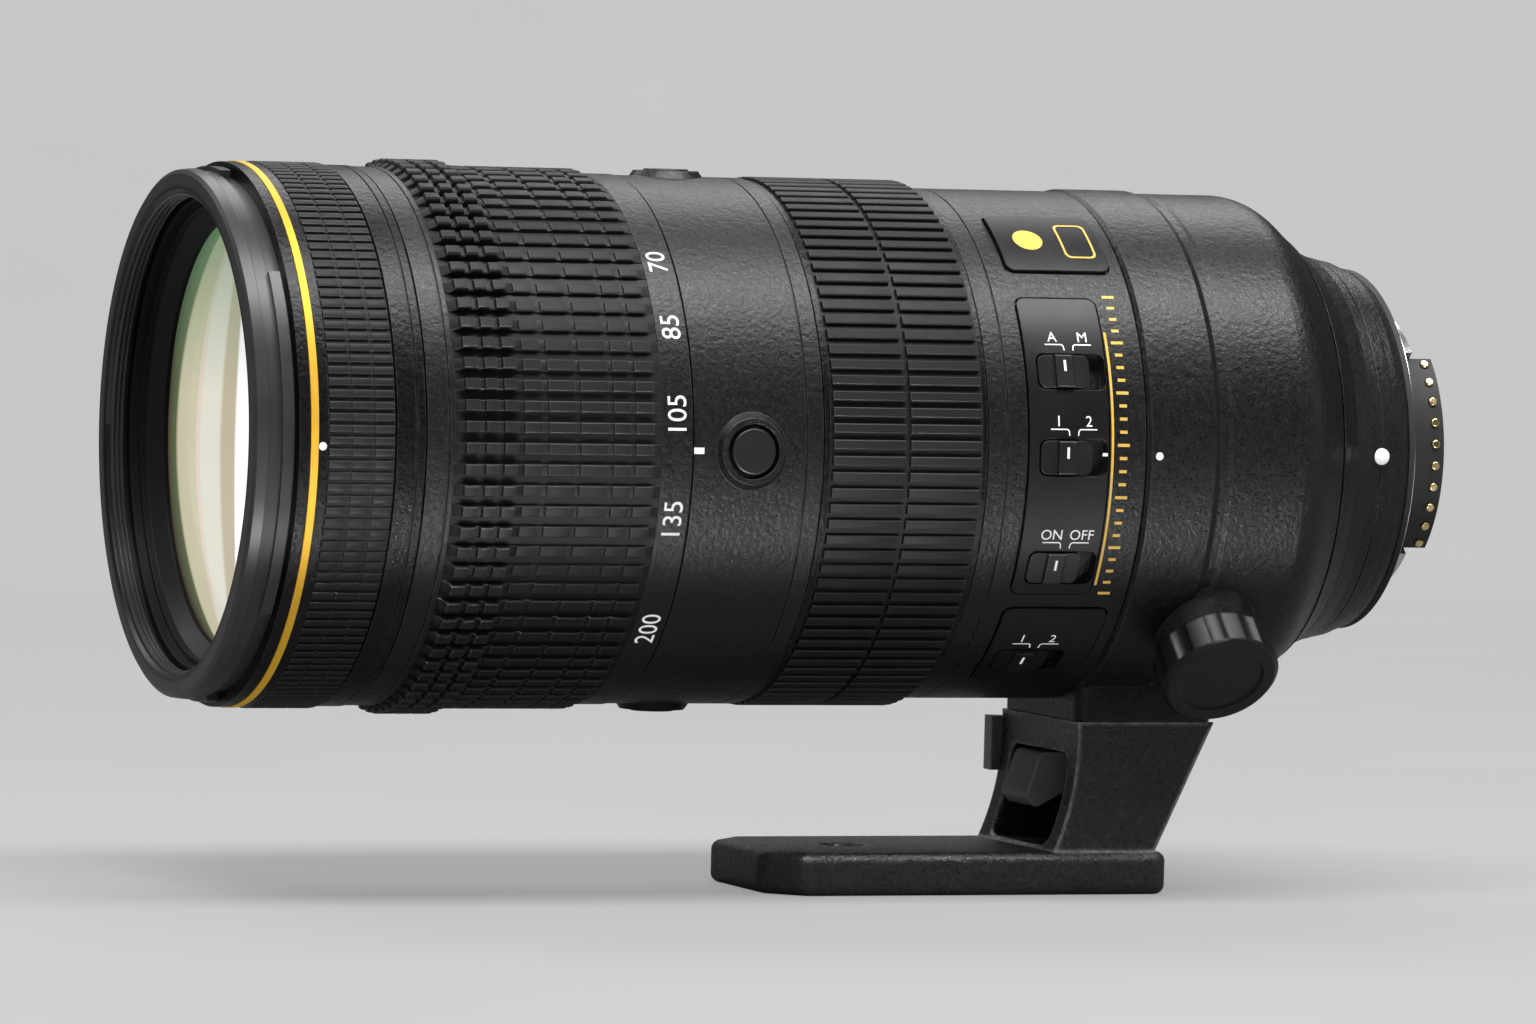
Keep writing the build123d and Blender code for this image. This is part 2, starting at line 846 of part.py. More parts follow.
# Rear barrel: the fixed tube that the tripod collar turns on
rear_tube_lap = 1.0
rear_tube_front = housing_back - rear_web - rear_tube_lap
rear_tube_wall = 2.0
collar_step = 10.2
neck_step = 3.2
rear_neck = rear_tube_outer - neck_step
cone_seat_step = 2.3
cone_seat_front = rear_neck - cone_seat_step
cone_seat_taper = 2.4
cone_seat_back = cone_seat_front - cone_seat_taper
cone_seat_length = 8.6
rear_step = collar_back - collar_step
cone_front = collar_back + run_gap
rear_barrel_back = cone_front + cone_seat_length
neck_back = collar_back - wall
with BuildPart() as rear_barrel:
    turned(
        (rear_tube_front, rear_tube_outer - rear_tube_wall),
        (rear_tube_front, rear_tube_outer),
        (rear_step - run_gap, rear_tube_outer),
        (rear_step - run_gap, rear_neck),
        (neck_back, rear_neck),
        (neck_back, cone_seat_front),
        (cone_front, cone_seat_front),
        (rear_barrel_back, cone_seat_back),
        (rear_barrel_back, cone_seat_back - wall * 2),
        (neck_back, cone_seat_front - wall * 2),
        (rear_step - wall * 2, rear_neck - wall * 2),
        (rear_step - wall * 2, rear_tube_outer - rear_tube_wall),
    )
save(rear_barrel.part, "rear_barrel")

# Mount: the flange, the throat tube and the screws that hold them to the rear cone
flange_thickness = 1.3
flange_width = 7.0
throat_outer = flange_radius - flange_width
throat_wall = 1.5
throat_inner = throat_outer - throat_wall
throat_reach = 4.6
lug_rise = 1.7
lug_radius = throat_outer + lug_rise
lug_front = 2.7
lug_back = 4.4
lug_angle = 42
lug_count = 3
lug_first = clock(62)
screw_inset = 3.3
screw_circle = flange_radius - screw_inset
screw_head_radius = 1.6
screw_head_depth = 0.8
screw_shank_radius = 0.9
screw_length = 4.6
screw_count = 4
screw_first = 45
lock_inset = 2.5
lock_slot_circle = flange_radius - lock_inset
lock_slot_width = 2.2
lock_slot_length = 2.6
block_angle = 44.5
block_back = 8.2
block_proud = 0.35
block_outer = throat_outer + block_proud
block_depth = 1.5
block_inner = throat_inner - block_depth
contact_station = 6.65
contact_radius = 0.72
contact_rise = 0.5
contact_count = 10
contact_pitch = 9.1
contact_depth = 0.9

# Rear cone: the tapered cover behind the collar
cone_back = -flange_thickness - seat_gap
cone_rise = 5.0
cone_rise_shares = (1.35, 0.99, 0.77, 0.52, 0.45, 0.37, 0.37, 0.43, 0.34, 0.25, 0.19, 0.11)
cone_station_shares = (0, 0.13, 0.24, 0.46, 0.575, 0.575, 0.595, 0.595, 0.75, 0.775, 0.88, 0.955)
cone_lip = 0.45
cone_end_radius = flange_radius + cone_lip
cone_bore_step = 4.7
cone_bore = flange_radius - cone_bore_step
cone_web = 5.4
cone_length = cone_back - cone_front
cone_points = [
    (cone_front + cone_length * share, cone_end_radius + cone_rise * rise_share)
    for share, rise_share in zip(cone_station_shares, cone_rise_shares)
]
with BuildPart(Plane.YZ) as rear_cone:
    turned(
        *cone_points,
        (cone_back, cone_end_radius),
        (cone_back, cone_bore),
        (cone_back - cone_web, cone_bore),
        (cone_back - cone_web, cone_seat_back + seat_gap),
        (rear_barrel_back + seat_gap, cone_seat_back + seat_gap),
        (cone_front, cone_seat_front + seat_gap),
    )
    with Locations((0, 0, cone_back - screw_length)):
        with PolarLocations(screw_circle, screw_count, start_angle=screw_first):
            Cylinder(
                screw_shank_radius + seat_gap,
                screw_length * 2,
                align=(Align.CENTER, Align.CENTER, Align.MIN),
                mode=Mode.SUBTRACT,
            )
save(rear_cone.part, "rear_cone")

# Mount plate: the flange, with the throat tube and its three bayonet lugs
with BuildPart(Plane.YZ) as mount_plate:
    turned(
        (-flange_thickness, throat_inner),
        (-flange_thickness, flange_radius),
        (0, flange_radius),
        (0, throat_outer),
        (throat_reach, throat_outer),
        (throat_reach, throat_inner),
    )
    for turn in range(lug_count):
        middle = lug_first + turn * 360 / lug_count
        sector(
            lug_back,
            lug_front,
            throat_inner,
            lug_radius,
            middle - lug_angle / 2,
            middle + lug_angle / 2,
        )
    sector(
        throat_reach + overrun,
        0,
        throat_inner - overrun,
        lug_radius + overrun,
        clock(block_angle),
        clock(-block_angle),
        mode=Mode.SUBTRACT,
    )
    with PolarLocations(screw_circle, screw_count, start_angle=screw_first):
        Cylinder(screw_head_radius + seat_gap, screw_head_depth * 2, mode=Mode.SUBTRACT)
        Cylinder(screw_shank_radius + seat_gap, flange_thickness * 4, mode=Mode.SUBTRACT)
    with PolarLocations(lock_slot_circle, 1, start_angle=clock(0)):
        Box(lock_slot_length, lock_slot_width, flange_thickness * 4, mode=Mode.SUBTRACT)
save(mount_plate.part, "mount_plate")

# Mount screws
with BuildPart(Plane.YZ) as mount_screws:
    with Locations((0, 0, -screw_head_depth)):
        with PolarLocations(screw_circle, screw_count, start_angle=screw_first):
            Cylinder(
                screw_head_radius,
                screw_head_depth - seat_gap,
                align=(Align.CENTER, Align.CENTER, Align.MIN),
            )
    with Locations((0, 0, -screw_length)):
        with PolarLocations(screw_circle, screw_count, start_angle=screw_first):
            Cylinder(
                screw_shank_radius,
                screw_length - screw_head_depth + seat_gap,
                align=(Align.CENTER, Align.CENTER, Align.MIN),
            )
save(mount_screws.part, "mount_screws")

# Mount gasket: the rubber dust lip around the flange
gasket_rise = 0.9
gasket_width = 0.8
with BuildPart() as mount_gasket:
    turned(
        (cone_back + seat_gap, flange_radius + seat_gap),
        (cone_back + seat_gap, flange_radius + gasket_rise / 2),
        (cone_back + gasket_width, flange_radius + gasket_rise),
        (cone_back + gasket_width, flange_radius + seat_gap),
    )
save(mount_gasket.part, "mount_gasket")

# Contact block in the gap of the throat tube, and its sprung pins
block_side = degrees(seat_gap / block_inner)
pin_root = block_outer - contact_depth
pin_angles = [
    clock((number - (contact_count - 1) / 2) * contact_pitch) for number in range(contact_count)
]
with BuildPart() as contact_block:
    sector(
        block_back,
        seat_gap,
        block_inner,
        block_outer,
        clock(block_angle - block_side),
        clock(block_side - block_angle),
    )
    sector(
        seat_gap,
        -flange_thickness,
        block_inner,
        throat_inner - seat_gap,
        clock(block_angle - block_side),
        clock(block_side - block_angle),
    )
    for angle in pin_angles:
        with BuildSketch(radial_plane(contact_station, pin_root, angle)) as bore:
            Circle(contact_radius + seat_gap)
        extrude(bore.sketch, amount=contact_depth * 2, mode=Mode.SUBTRACT)
save(contact_block.part, "contact_block")
with BuildPart() as contact_pins:
    for angle in pin_angles:
        with BuildSketch(radial_plane(contact_station, pin_root + seat_gap, angle)) as pin:
            Circle(contact_radius)
        extrude(pin.sketch, amount=contact_depth + contact_rise - seat_gap)
    rims = contact_pins.edges().filter_by(GeomType.CIRCLE).sort_by_distance((contact_station, 0, 0))
    fillet(rims[contact_count:], contact_rise / 2)
save(contact_pins.part, "contact_pins")

# Focus unit: where the group stands, how far it goes and how far its motor turns
focus_place = 7.5
focus_station = focus_front + focus_place
focus_travel = 5.0
focus_turn = 50
focus_cell_length = 9.0
focus_guide_inner = 27.0
focus_guide_outer = 28.2
focus_cam_gap = 0.3
focus_cam_inner = focus_guide_outer + focus_cam_gap
focus_cam_outer = focus_cam_inner + wall
focus_pin_radius = 1.2
focus_clock = 90
focus_slot_width = focus_pin_radius * 2 + slide_gap * 2
focus_slot_end = focus_pin_radius + slide_gap * 2
focus_lens_radius = 21.0
inner_flange = 1.2
inner_gap = 0.5
inner_front = main_back + inner_gap

# Iris: blades on pivots in a fixed housing, drawn in by the slots of a drive ring
blade_count = 9
aperture_radius = 15.8
blade_inner = 16.2
blade_outer = 23.4
blade_start = -3.5
blade_end = 86
blade_thickness = 0.16
blade_pitch = 0.28
pivot_circle = 25.2
pivot_radius = 0.7
drive_circle = 26.2
drive_clock = 9
drive_radius = 0.6
iris_turn = 20
blade_turn = 35
iris_place = 13.1
iris_front = focus_station + iris_place
iris_plate = 1.0
iris_rim_inner = 29.2
iris_housing_outer = 30.4
iris_length = 7.0
first_blade_gap = 0.3
first_blade = iris_front + iris_plate + first_blade_gap
blades_back = first_blade + blade_pitch * (blade_count - 1) + blade_thickness
ring_set_back = 1.3
iris_ring_front = blades_back + ring_set_back
iris_ring_thickness = 1.2
iris_ring_inner = 20.0
iris_ring_outer = 28.8

# Stabiliser: a lens cell that floats up and down on a frame that slides sideways
frame_place = 9.4
frame_front = iris_front + frame_place
frame_thickness = 1.4
frame_inner = 20.0
frame_outer = 28.4
float_front_gap = 1.2
float_front = frame_front + frame_thickness + float_front_gap
float_length = 8.9
float_lens_radius = 13.0
float_neck = 17.4
float_flange = 26.0
coil_circle = 21.0
coil_size = 7.0
coil_thickness = 2.0
float_back = float_front + float_length

# Inner barrel: the fixed tube behind the zoom that holds the focus, iris and relay groups
chamber_lead = 0.4
chamber_front = iris_front - chamber_lead
chamber_tail = 9.4
chamber_back = float_back + chamber_tail
chamber_gap = 0.1
chamber_inner = iris_housing_outer + chamber_gap
chamber_wall = 1.5
chamber_outer = chamber_inner + chamber_wall
relay_outer = 24.0
relay_inner = 22.5
relay_back = -6.0
rear_lens_radius = 15.0
rear_lens_length = 7.2
chamber_flange = 1.2
flange_front = rear_tube_front + seat_gap
flange_fit = rear_tube_outer - rear_tube_wall - seat_gap
with BuildPart(Plane.YZ) as inner_barrel:
    turned(
        (inner_front, focus_guide_inner),
        (inner_front, focus_tube_inner - seat_gap),
        (inner_front + inner_flange, focus_tube_inner - seat_gap),
        (inner_front + inner_flange, focus_guide_outer),
        (chamber_front - inner_flange, focus_guide_outer),
        (chamber_front - inner_flange, chamber_outer),
        (flange_front, chamber_outer),
        (flange_front, flange_fit),
        (flange_front + chamber_flange, flange_fit),
        (flange_front + chamber_flange, relay_outer),
        (relay_back, relay_outer),
        (relay_back, rear_lens_radius + seat_gap),
        (relay_back - rear_lens_length, rear_lens_radius + seat_gap),
        (relay_back - rear_lens_length, rear_lens_radius - wall),
        (relay_back - rear_lens_length - wall, rear_lens_radius - wall),
        (relay_back - rear_lens_length - wall, relay_inner),
        (chamber_back, relay_inner),
        (chamber_back, chamber_inner),
        (chamber_front, chamber_inner),
        (chamber_front, focus_guide_inner),
    )
    with Locations((0, 0, focus_station)):
        with PolarLocations(focus_guide_inner, pin_count, start_angle=focus_clock):
            Box(
                wall * 4,
                focus_slot_width,
                (focus_travel + focus_slot_end) * 2,
                mode=Mode.SUBTRACT,
            )
save(inner_barrel.part, "inner_barrel")

# Rear lenses: the fixed relay and rear glasses in the inner barrel
relay_place = 3.0
relay_station = rear_tube_front + relay_place
relay_thickness = 7.0
relay_bulge = 1.6
relay_spacing = 22.0
second_relay_station = relay_station + relay_spacing
second_relay_thickness = 5.0
rear_bulge = 0.8
with BuildPart() as rear_lenses:
    glass(
        relay_station,
        relay_station + relay_thickness,
        relay_inner - seat_gap,
        relay_bulge,
        relay_bulge,
    )
    glass(
        second_relay_station,
        second_relay_station + second_relay_thickness,
        relay_inner - seat_gap,
        -relay_bulge,
        relay_bulge / 2,
    )
    glass(
        relay_back - rear_lens_length + glass_shim * 3,
        relay_back - wall,
        rear_lens_radius,
        rear_bulge,
        rear_bulge,
    )
save(rear_lenses.part, "rear_lenses")

# Focus motor: a ring stator, and a rotor whose cam tube drives the focus cell
stator_place = 7.1
stator_station = inner_front + stator_place
stator_thickness = 5.0
rotor_thickness = 4.0
rotor_gap = 0.5
rotor_outer = focus_tube_inner - rotor_gap
rotor_rest = 0.4
rotor_front = stator_station + stator_thickness + rotor_rest
focus_cam_front = inner_front + inner_flange + run_gap
focus_cam_back = focus_station + focus_travel + focus_slot_end + wall * 2
with BuildPart() as motor_stator:
    ring(
        stator_station + stator_thickness,
        stator_station,
        focus_cam_outer + run_gap,
        focus_tube_inner - seat_gap,
    )
save(motor_stator.part, "motor_stator")
with BuildPart() as motor_rotor:
    turned(
        (focus_cam_front, focus_cam_inner),
        (focus_cam_front, focus_cam_outer),
        (rotor_front, focus_cam_outer),
        (rotor_front, rotor_outer),
        (rotor_front + rotor_thickness, rotor_outer),
        (rotor_front + rotor_thickness, focus_cam_outer),
        (focus_cam_back, focus_cam_outer),
        (focus_cam_back, focus_cam_inner),
    )
    cutter = cam_cutter(
        focus_station,
        focus_travel,
        focus_turn,
        focus_clock,
        focus_cam_inner - wall / 2,
        focus_cam_outer + seat_gap,
        focus_slot_width,
    )
    for turn in range(pin_count):
        add(cutter.rotate(Axis.X, turn * 360 / pin_count), mode=Mode.SUBTRACT)
save(motor_rotor.part, "motor_rotor")

# Focus cell and its glass
focus_cell_gap = 0.4
focus_cell_radius = focus_guide_inner - focus_cell_gap
focus_hollow = 1.0
focus_cell_front = focus_station - focus_cell_length / 2
focus_cell_back = focus_station + focus_cell_length / 2
with BuildPart() as focus_cell:
    turned(
        (focus_cell_front, focus_lens_radius + seat_gap),
        (focus_cell_front, focus_cell_radius),
        (focus_cell_back, focus_cell_radius),
        (focus_cell_back, focus_lens_radius - wall),
        (focus_cell_back - wall, focus_lens_radius - wall),
        (focus_cell_back - wall, focus_lens_radius + seat_gap),
    )
    for turn in range(pin_count):
        angle = focus_clock + turn * 360 / pin_count
        with BuildSketch(radial_plane(focus_station, focus_cell_radius - wall, angle)) as pin:
            Circle(focus_pin_radius)
        extrude(pin.sketch, amount=focus_cam_outer - slide_gap - focus_cell_radius + wall)
save(focus_cell.part, "focus_cell")
with BuildPart() as focus_lens:
    glass(
        focus_cell_front + wall,
        focus_cell_back - wall - glass_shim,
        focus_lens_radius,
        -focus_hollow,
        -focus_hollow,
    )
save(focus_lens.part, "focus_lens")


def polar(radius, angle):
    """A point in the plane across the axis."""
    return (radius * cos(radians(angle)), radius * sin(radians(angle)))


# Iris housing: the front plate with the pivot holes, and its rim
with BuildPart(Plane.YZ) as iris_housing:
    turned(
        (iris_front, aperture_radius),
        (iris_front, iris_housing_outer),
        (iris_front + iris_length, iris_housing_outer),
        (iris_front + iris_length, iris_rim_inner),
        (iris_front + iris_plate, iris_rim_inner),
        (iris_front + iris_plate, aperture_radius),
    )
    with Locations((0, 0, iris_front)):
        with PolarLocations(pivot_circle, blade_count):
            Cylinder(pivot_radius + seat_gap, iris_plate * 3, mode=Mode.SUBTRACT)
save(iris_housing.part, "iris_housing")


def crescent(inner, outer, low, high):
    """A piece of a flat ring between two angles."""
    middle = (low + high) / 2
    with BuildLine() as outline:
        ThreePointArc(polar(inner, low), polar(inner, middle), polar(inner, high))
        Line(polar(inner, high), polar(outer, high))
        ThreePointArc(polar(outer, high), polar(outer, middle), polar(outer, low))
        Line(polar(outer, low), polar(inner, low))
    make_face(outline.edges())


# Iris blades: each a crescent on its own layer, with a pivot pin and a drive pin
ear_margin = 0.4
ear_radius = drive_circle + drive_radius + ear_margin
for number in range(blade_count):
    turn = number * 360 / blade_count
    layer = first_blade + number * blade_pitch
    layer_middle = layer + blade_thickness / 2
    with BuildPart() as iris_blade:
        with BuildSketch(Plane.YZ.offset(layer)) as leaf:
            crescent(blade_inner, blade_outer, turn + blade_start, turn + blade_end)
            crescent(
                blade_inner, ear_radius, turn + blade_start, turn + drive_clock - blade_start
            )
        extrude(leaf.sketch, amount=blade_thickness)
        with BuildSketch(Plane.YZ.offset(iris_front + slide_gap)) as pivot:
            with Locations(polar(pivot_circle, turn)):
                Circle(pivot_radius)
        extrude(pivot.sketch, amount=layer_middle - iris_front - slide_gap)
        with BuildSketch(Plane.YZ.offset(layer_middle)) as drive:
            with Locations(polar(drive_circle, turn + drive_clock)):
                Circle(drive_radius)
        extrude(
            drive.sketch, amount=iris_ring_front + iris_ring_thickness - slide_gap - layer_middle
        )
    save(iris_blade.part, f"iris_blade_{number + 1}")


def drive_point(share):
    """The drive pin's place on the iris ring after a share of the whole turn."""
    pivot = Vector(pivot_circle, 0)
    arm = Vector(*polar(drive_circle, drive_clock)) - pivot
    moved = arm.rotate(Axis.Z, blade_turn * share) + pivot
    return moved.rotate(Axis.Z, -iris_turn * share)


# Iris ring: its slots are the paths of the drive pins as blades and ring turn together
drive_path = ThreePointArc(drive_point(0), drive_point(1 / 2), drive_point(1))
drive_slot_width = (drive_radius + slide_gap * 3 / 2) * 2
with BuildPart() as iris_ring:
    ring(iris_ring_front + iris_ring_thickness, iris_ring_front, iris_ring_inner, iris_ring_outer)
    with BuildSketch(Plane.YZ.offset(iris_ring_front)) as drive_slots:
        for number in range(blade_count):
            SlotArc(drive_path.rotate(Axis.Z, number * 360 / blade_count), drive_slot_width)
    extrude(drive_slots.sketch, amount=iris_ring_thickness, mode=Mode.SUBTRACT)
save(iris_ring.part, "iris_ring")

# Stabiliser frame, cell and glass
with BuildPart() as stabiliser_frame:
    ring(frame_front + frame_thickness, frame_front, frame_inner, frame_outer)
save(stabiliser_frame.part, "stabiliser_frame")
with BuildPart(Plane.YZ) as stabiliser_cell:
    turned(
        (float_front, float_lens_radius - wall),
        (float_front, float_flange),
        (float_front + wall, float_flange),
        (float_front + wall, float_neck),
        (float_back, float_neck),
        (float_back, float_lens_radius + seat_gap),
        (float_front + wall, float_lens_radius + seat_gap),
        (float_front + wall, float_lens_radius - wall),
    )
    with Locations((0, 0, float_front + wall + coil_thickness / 2)):
        with PolarLocations(coil_circle, 2, angular_range=180):
            Box(coil_size, coil_size * 2, coil_thickness)
save(stabiliser_cell.part, "stabiliser_cell")
with BuildPart() as stabiliser_lens:
    glass(
        float_front + wall + glass_shim,
        float_back - wall,
        float_lens_radius,
        -focus_hollow,
        -focus_hollow,
    )
save(stabiliser_lens.part, "stabiliser_lens")

# Tripod collar: the ring that turns on the rear barrel, with the foot's shoe and the knob boss
collar_fit = 0.1
collar_bore = rear_tube_outer + collar_fit
collar_rest = 0.4
collar_neck = rear_neck + collar_rest
shoe_half_width = 16.3
shoe_set_back = 12.8
shoe_back = collar_back - shoe_set_back
shoe_drop = 2.65
shoe_floor = -collar_radius - shoe_drop
shoe_height = 14.25
shoe_roof = shoe_floor + shoe_height
shoe_corner = 2.5
rail_place = 5.0
rail_front = collar_front + rail_place
rail_end = 0.6
rail_back = shoe_back - rail_end
rail_top_half = 8.0
rail_half = 10.0
rail_depth = 4.0
knob_place = 15.7
knob_station = collar_front + knob_place
knob_clock = clock(-44)
knob_standoff = 3.4
knob_seat = collar_radius + knob_standoff
boss_foot_radius = 10.4
boss_top_radius = 6.6
boss_sink = 3.6
boss_start = collar_radius - boss_sink
collar_raise = 0.3
collar_chamfer = 0.6
collar_step_rise = 0.7
band_length = 11.7
groove_length = 1.4
band_slope = 1.2
shoulder_length = 9.0
shoulder_drop = 0.6
shoulder_middle = 3.4
shoulder_middle_drop = 2.3
shoulder_rise = 1.9
shoulder_end = rear_neck + shoulder_rise
stem_radius = 2.5
stem_sink = 2.2
stem_start = collar_radius - stem_sink
collar_top = collar_radius + collar_raise
collar_low = collar_radius - collar_raise / 2
band_back = collar_front + band_length
groove_back = band_back + band_slope + groove_length
shoulder_front = collar_back - shoulder_length
shoulder_station = collar_back - shoulder_middle
with BuildPart() as tripod_collar:
    with BuildSketch(Plane.XY.offset(shoe_floor)) as shoe:
        with Locations(((collar_front + shoe_back) / 2, 0)):
            RectangleRounded(shoe_back - collar_front, shoe_half_width * 2, shoe_corner)
    extrude(shoe.sketch, amount=shoe_roof - shoe_floor)
    with BuildSketch(radial_plane(knob_station, boss_start, knob_clock)) as boss_foot:
        Circle(boss_foot_radius)
    with BuildSketch(radial_plane(knob_station, knob_seat, knob_clock)) as boss_top:
        Circle(boss_top_radius)
    loft([boss_foot.sketch, boss_top.sketch])
    ring(collar_back, collar_front - overrun, 0, collar_bore, mode=Mode.SUBTRACT)
    with BuildSketch(Plane.XY) as collar_profile:
        with BuildLine():
            Polyline(
                (shoulder_front, collar_low),
                (groove_back + band_slope / 2, collar_low),
                (groove_back, collar_top - collar_step_rise),
                (band_back + band_slope, collar_top - collar_step_rise),
                (band_back, collar_top),
                (collar_front + collar_chamfer, collar_top),
                (collar_front, collar_top - collar_chamfer),
                (collar_front, collar_bore),
                (rear_step, collar_bore),
                (rear_step, collar_neck),
                (collar_back, collar_neck),
                (collar_back, shoulder_end),
                (shoulder_station, collar_low - shoulder_middle_drop),
            )
            ThreePointArc(
                (shoulder_station, collar_low - shoulder_middle_drop),
                ((shoulder_station + shoulder_front) / 2, collar_low - shoulder_drop),
                (shoulder_front, collar_low),
            )
        make_face()
    revolve(collar_profile.sketch, axis=Axis.X)
    with BuildSketch(Plane.YZ.offset(rail_front)) as rail:
        with BuildLine():
            Polyline(
                (-rail_top_half, shoe_floor),
                (rail_top_half, shoe_floor),
                (rail_half, shoe_floor - rail_depth),
                (-rail_half, shoe_floor - rail_depth),
                close=True,
            )
        make_face()
    extrude(rail.sketch, amount=rail_back - rail_front)
    with BuildSketch(radial_plane(knob_station, stem_start - overrun, knob_clock)) as stem_hole:
        Circle(stem_radius + seat_gap * 2)
    extrude(stem_hole.sketch, amount=knob_seat - stem_start + overrun * 2, mode=Mode.SUBTRACT)
save(tripod_collar.part, "tripod_collar")

# Clamp knob: a fluted head with a sunk face, and the screw that clamps the collar
knob_radius = 9.7
knob_height = 7.2
knob_bevel = 0.8
knob_face_radius = 6.9
knob_face_depth = 0.4
flute_count = 10
flute_radius = 2.4
flute_bite = 0.7
flute_end = 0.9
knob_gap = 0.2
knob_base = knob_seat + knob_gap
with BuildPart() as clamp_knob:
    knob_plane = radial_plane(knob_station, knob_base, knob_clock)
    with BuildSketch(knob_plane) as knob_disc:
        Circle(knob_radius)
    extrude(knob_disc.sketch, amount=knob_height)
    chamfer(clamp_knob.edges().filter_by(GeomType.CIRCLE), knob_bevel)
    with BuildSketch(knob_plane) as flutes:
        with PolarLocations(knob_radius + flute_radius - flute_bite, flute_count):
            Circle(flute_radius)
    extrude(flutes.sketch, amount=knob_height - flute_end, mode=Mode.SUBTRACT)
    with BuildSketch(knob_plane.offset(knob_height - knob_face_depth)) as sunk_face:
        Circle(knob_face_radius)
    extrude(sunk_face.sketch, amount=knob_face_depth, mode=Mode.SUBTRACT)
    with BuildSketch(knob_plane) as stem:
        Circle(stem_radius)
    extrude(stem.sketch, amount=stem_start - knob_base)
save(clamp_knob.part, "clamp_knob")

# Foot: a hollow-fronted neck under the shoe and a long plate with the tripod thread
foot_gap = 0.15
neck_foot_front = 4.5
neck_foot_back = 10.6
neck_hollow = 1.7
plate_half_width = 17.5
plate_reach_front = 53.1
plate_front = collar_front - plate_reach_front
plate_reach_rear = 16.2
plate_rear = collar_front + plate_reach_rear
plate_thickness = 7.0
foot_height = 28.25
foot_floor = shoe_floor - foot_height
corner_cut_length = 6.0
corner_cut_width = 6.5
plate_corner = 2.5
plate_round = 1.6
thread_radius = 3.97
thread_place = 18.6
thread_station = plate_front + thread_place
window_half_width = 12.4
roof_web = 5.4
window_roof = shoe_floor - roof_web
floor_web = 0.5
window_floor = foot_floor + plate_thickness + floor_web
window_place = 10.5
window_back = collar_front + window_place
window_corner = 2.5
latch_bore_radius = 1.3
latch_drop = 8.9
latch_bore_height = shoe_floor - latch_drop
latch_bore_reach = 16.0
latch_bore_back = collar_front + latch_bore_reach
pivot_place = 8.6
lever_pivot_station = collar_front + pivot_place
pivot_clearance = 2.1
lever_pivot_offset = shoe_half_width + pivot_clearance
lever_pivot_radius = 0.9
lever_top_drop = 1.4
lever_top = shoe_floor - lever_top_drop
lever_bottom_drop = 10.4
lever_bottom = shoe_floor - lever_bottom_drop
ear_thickness = 1.0
lug_ear_radius = 1.9
plate_top = foot_floor + plate_thickness
foot_top = shoe_floor - foot_gap
neck_front = collar_front - neck_foot_front
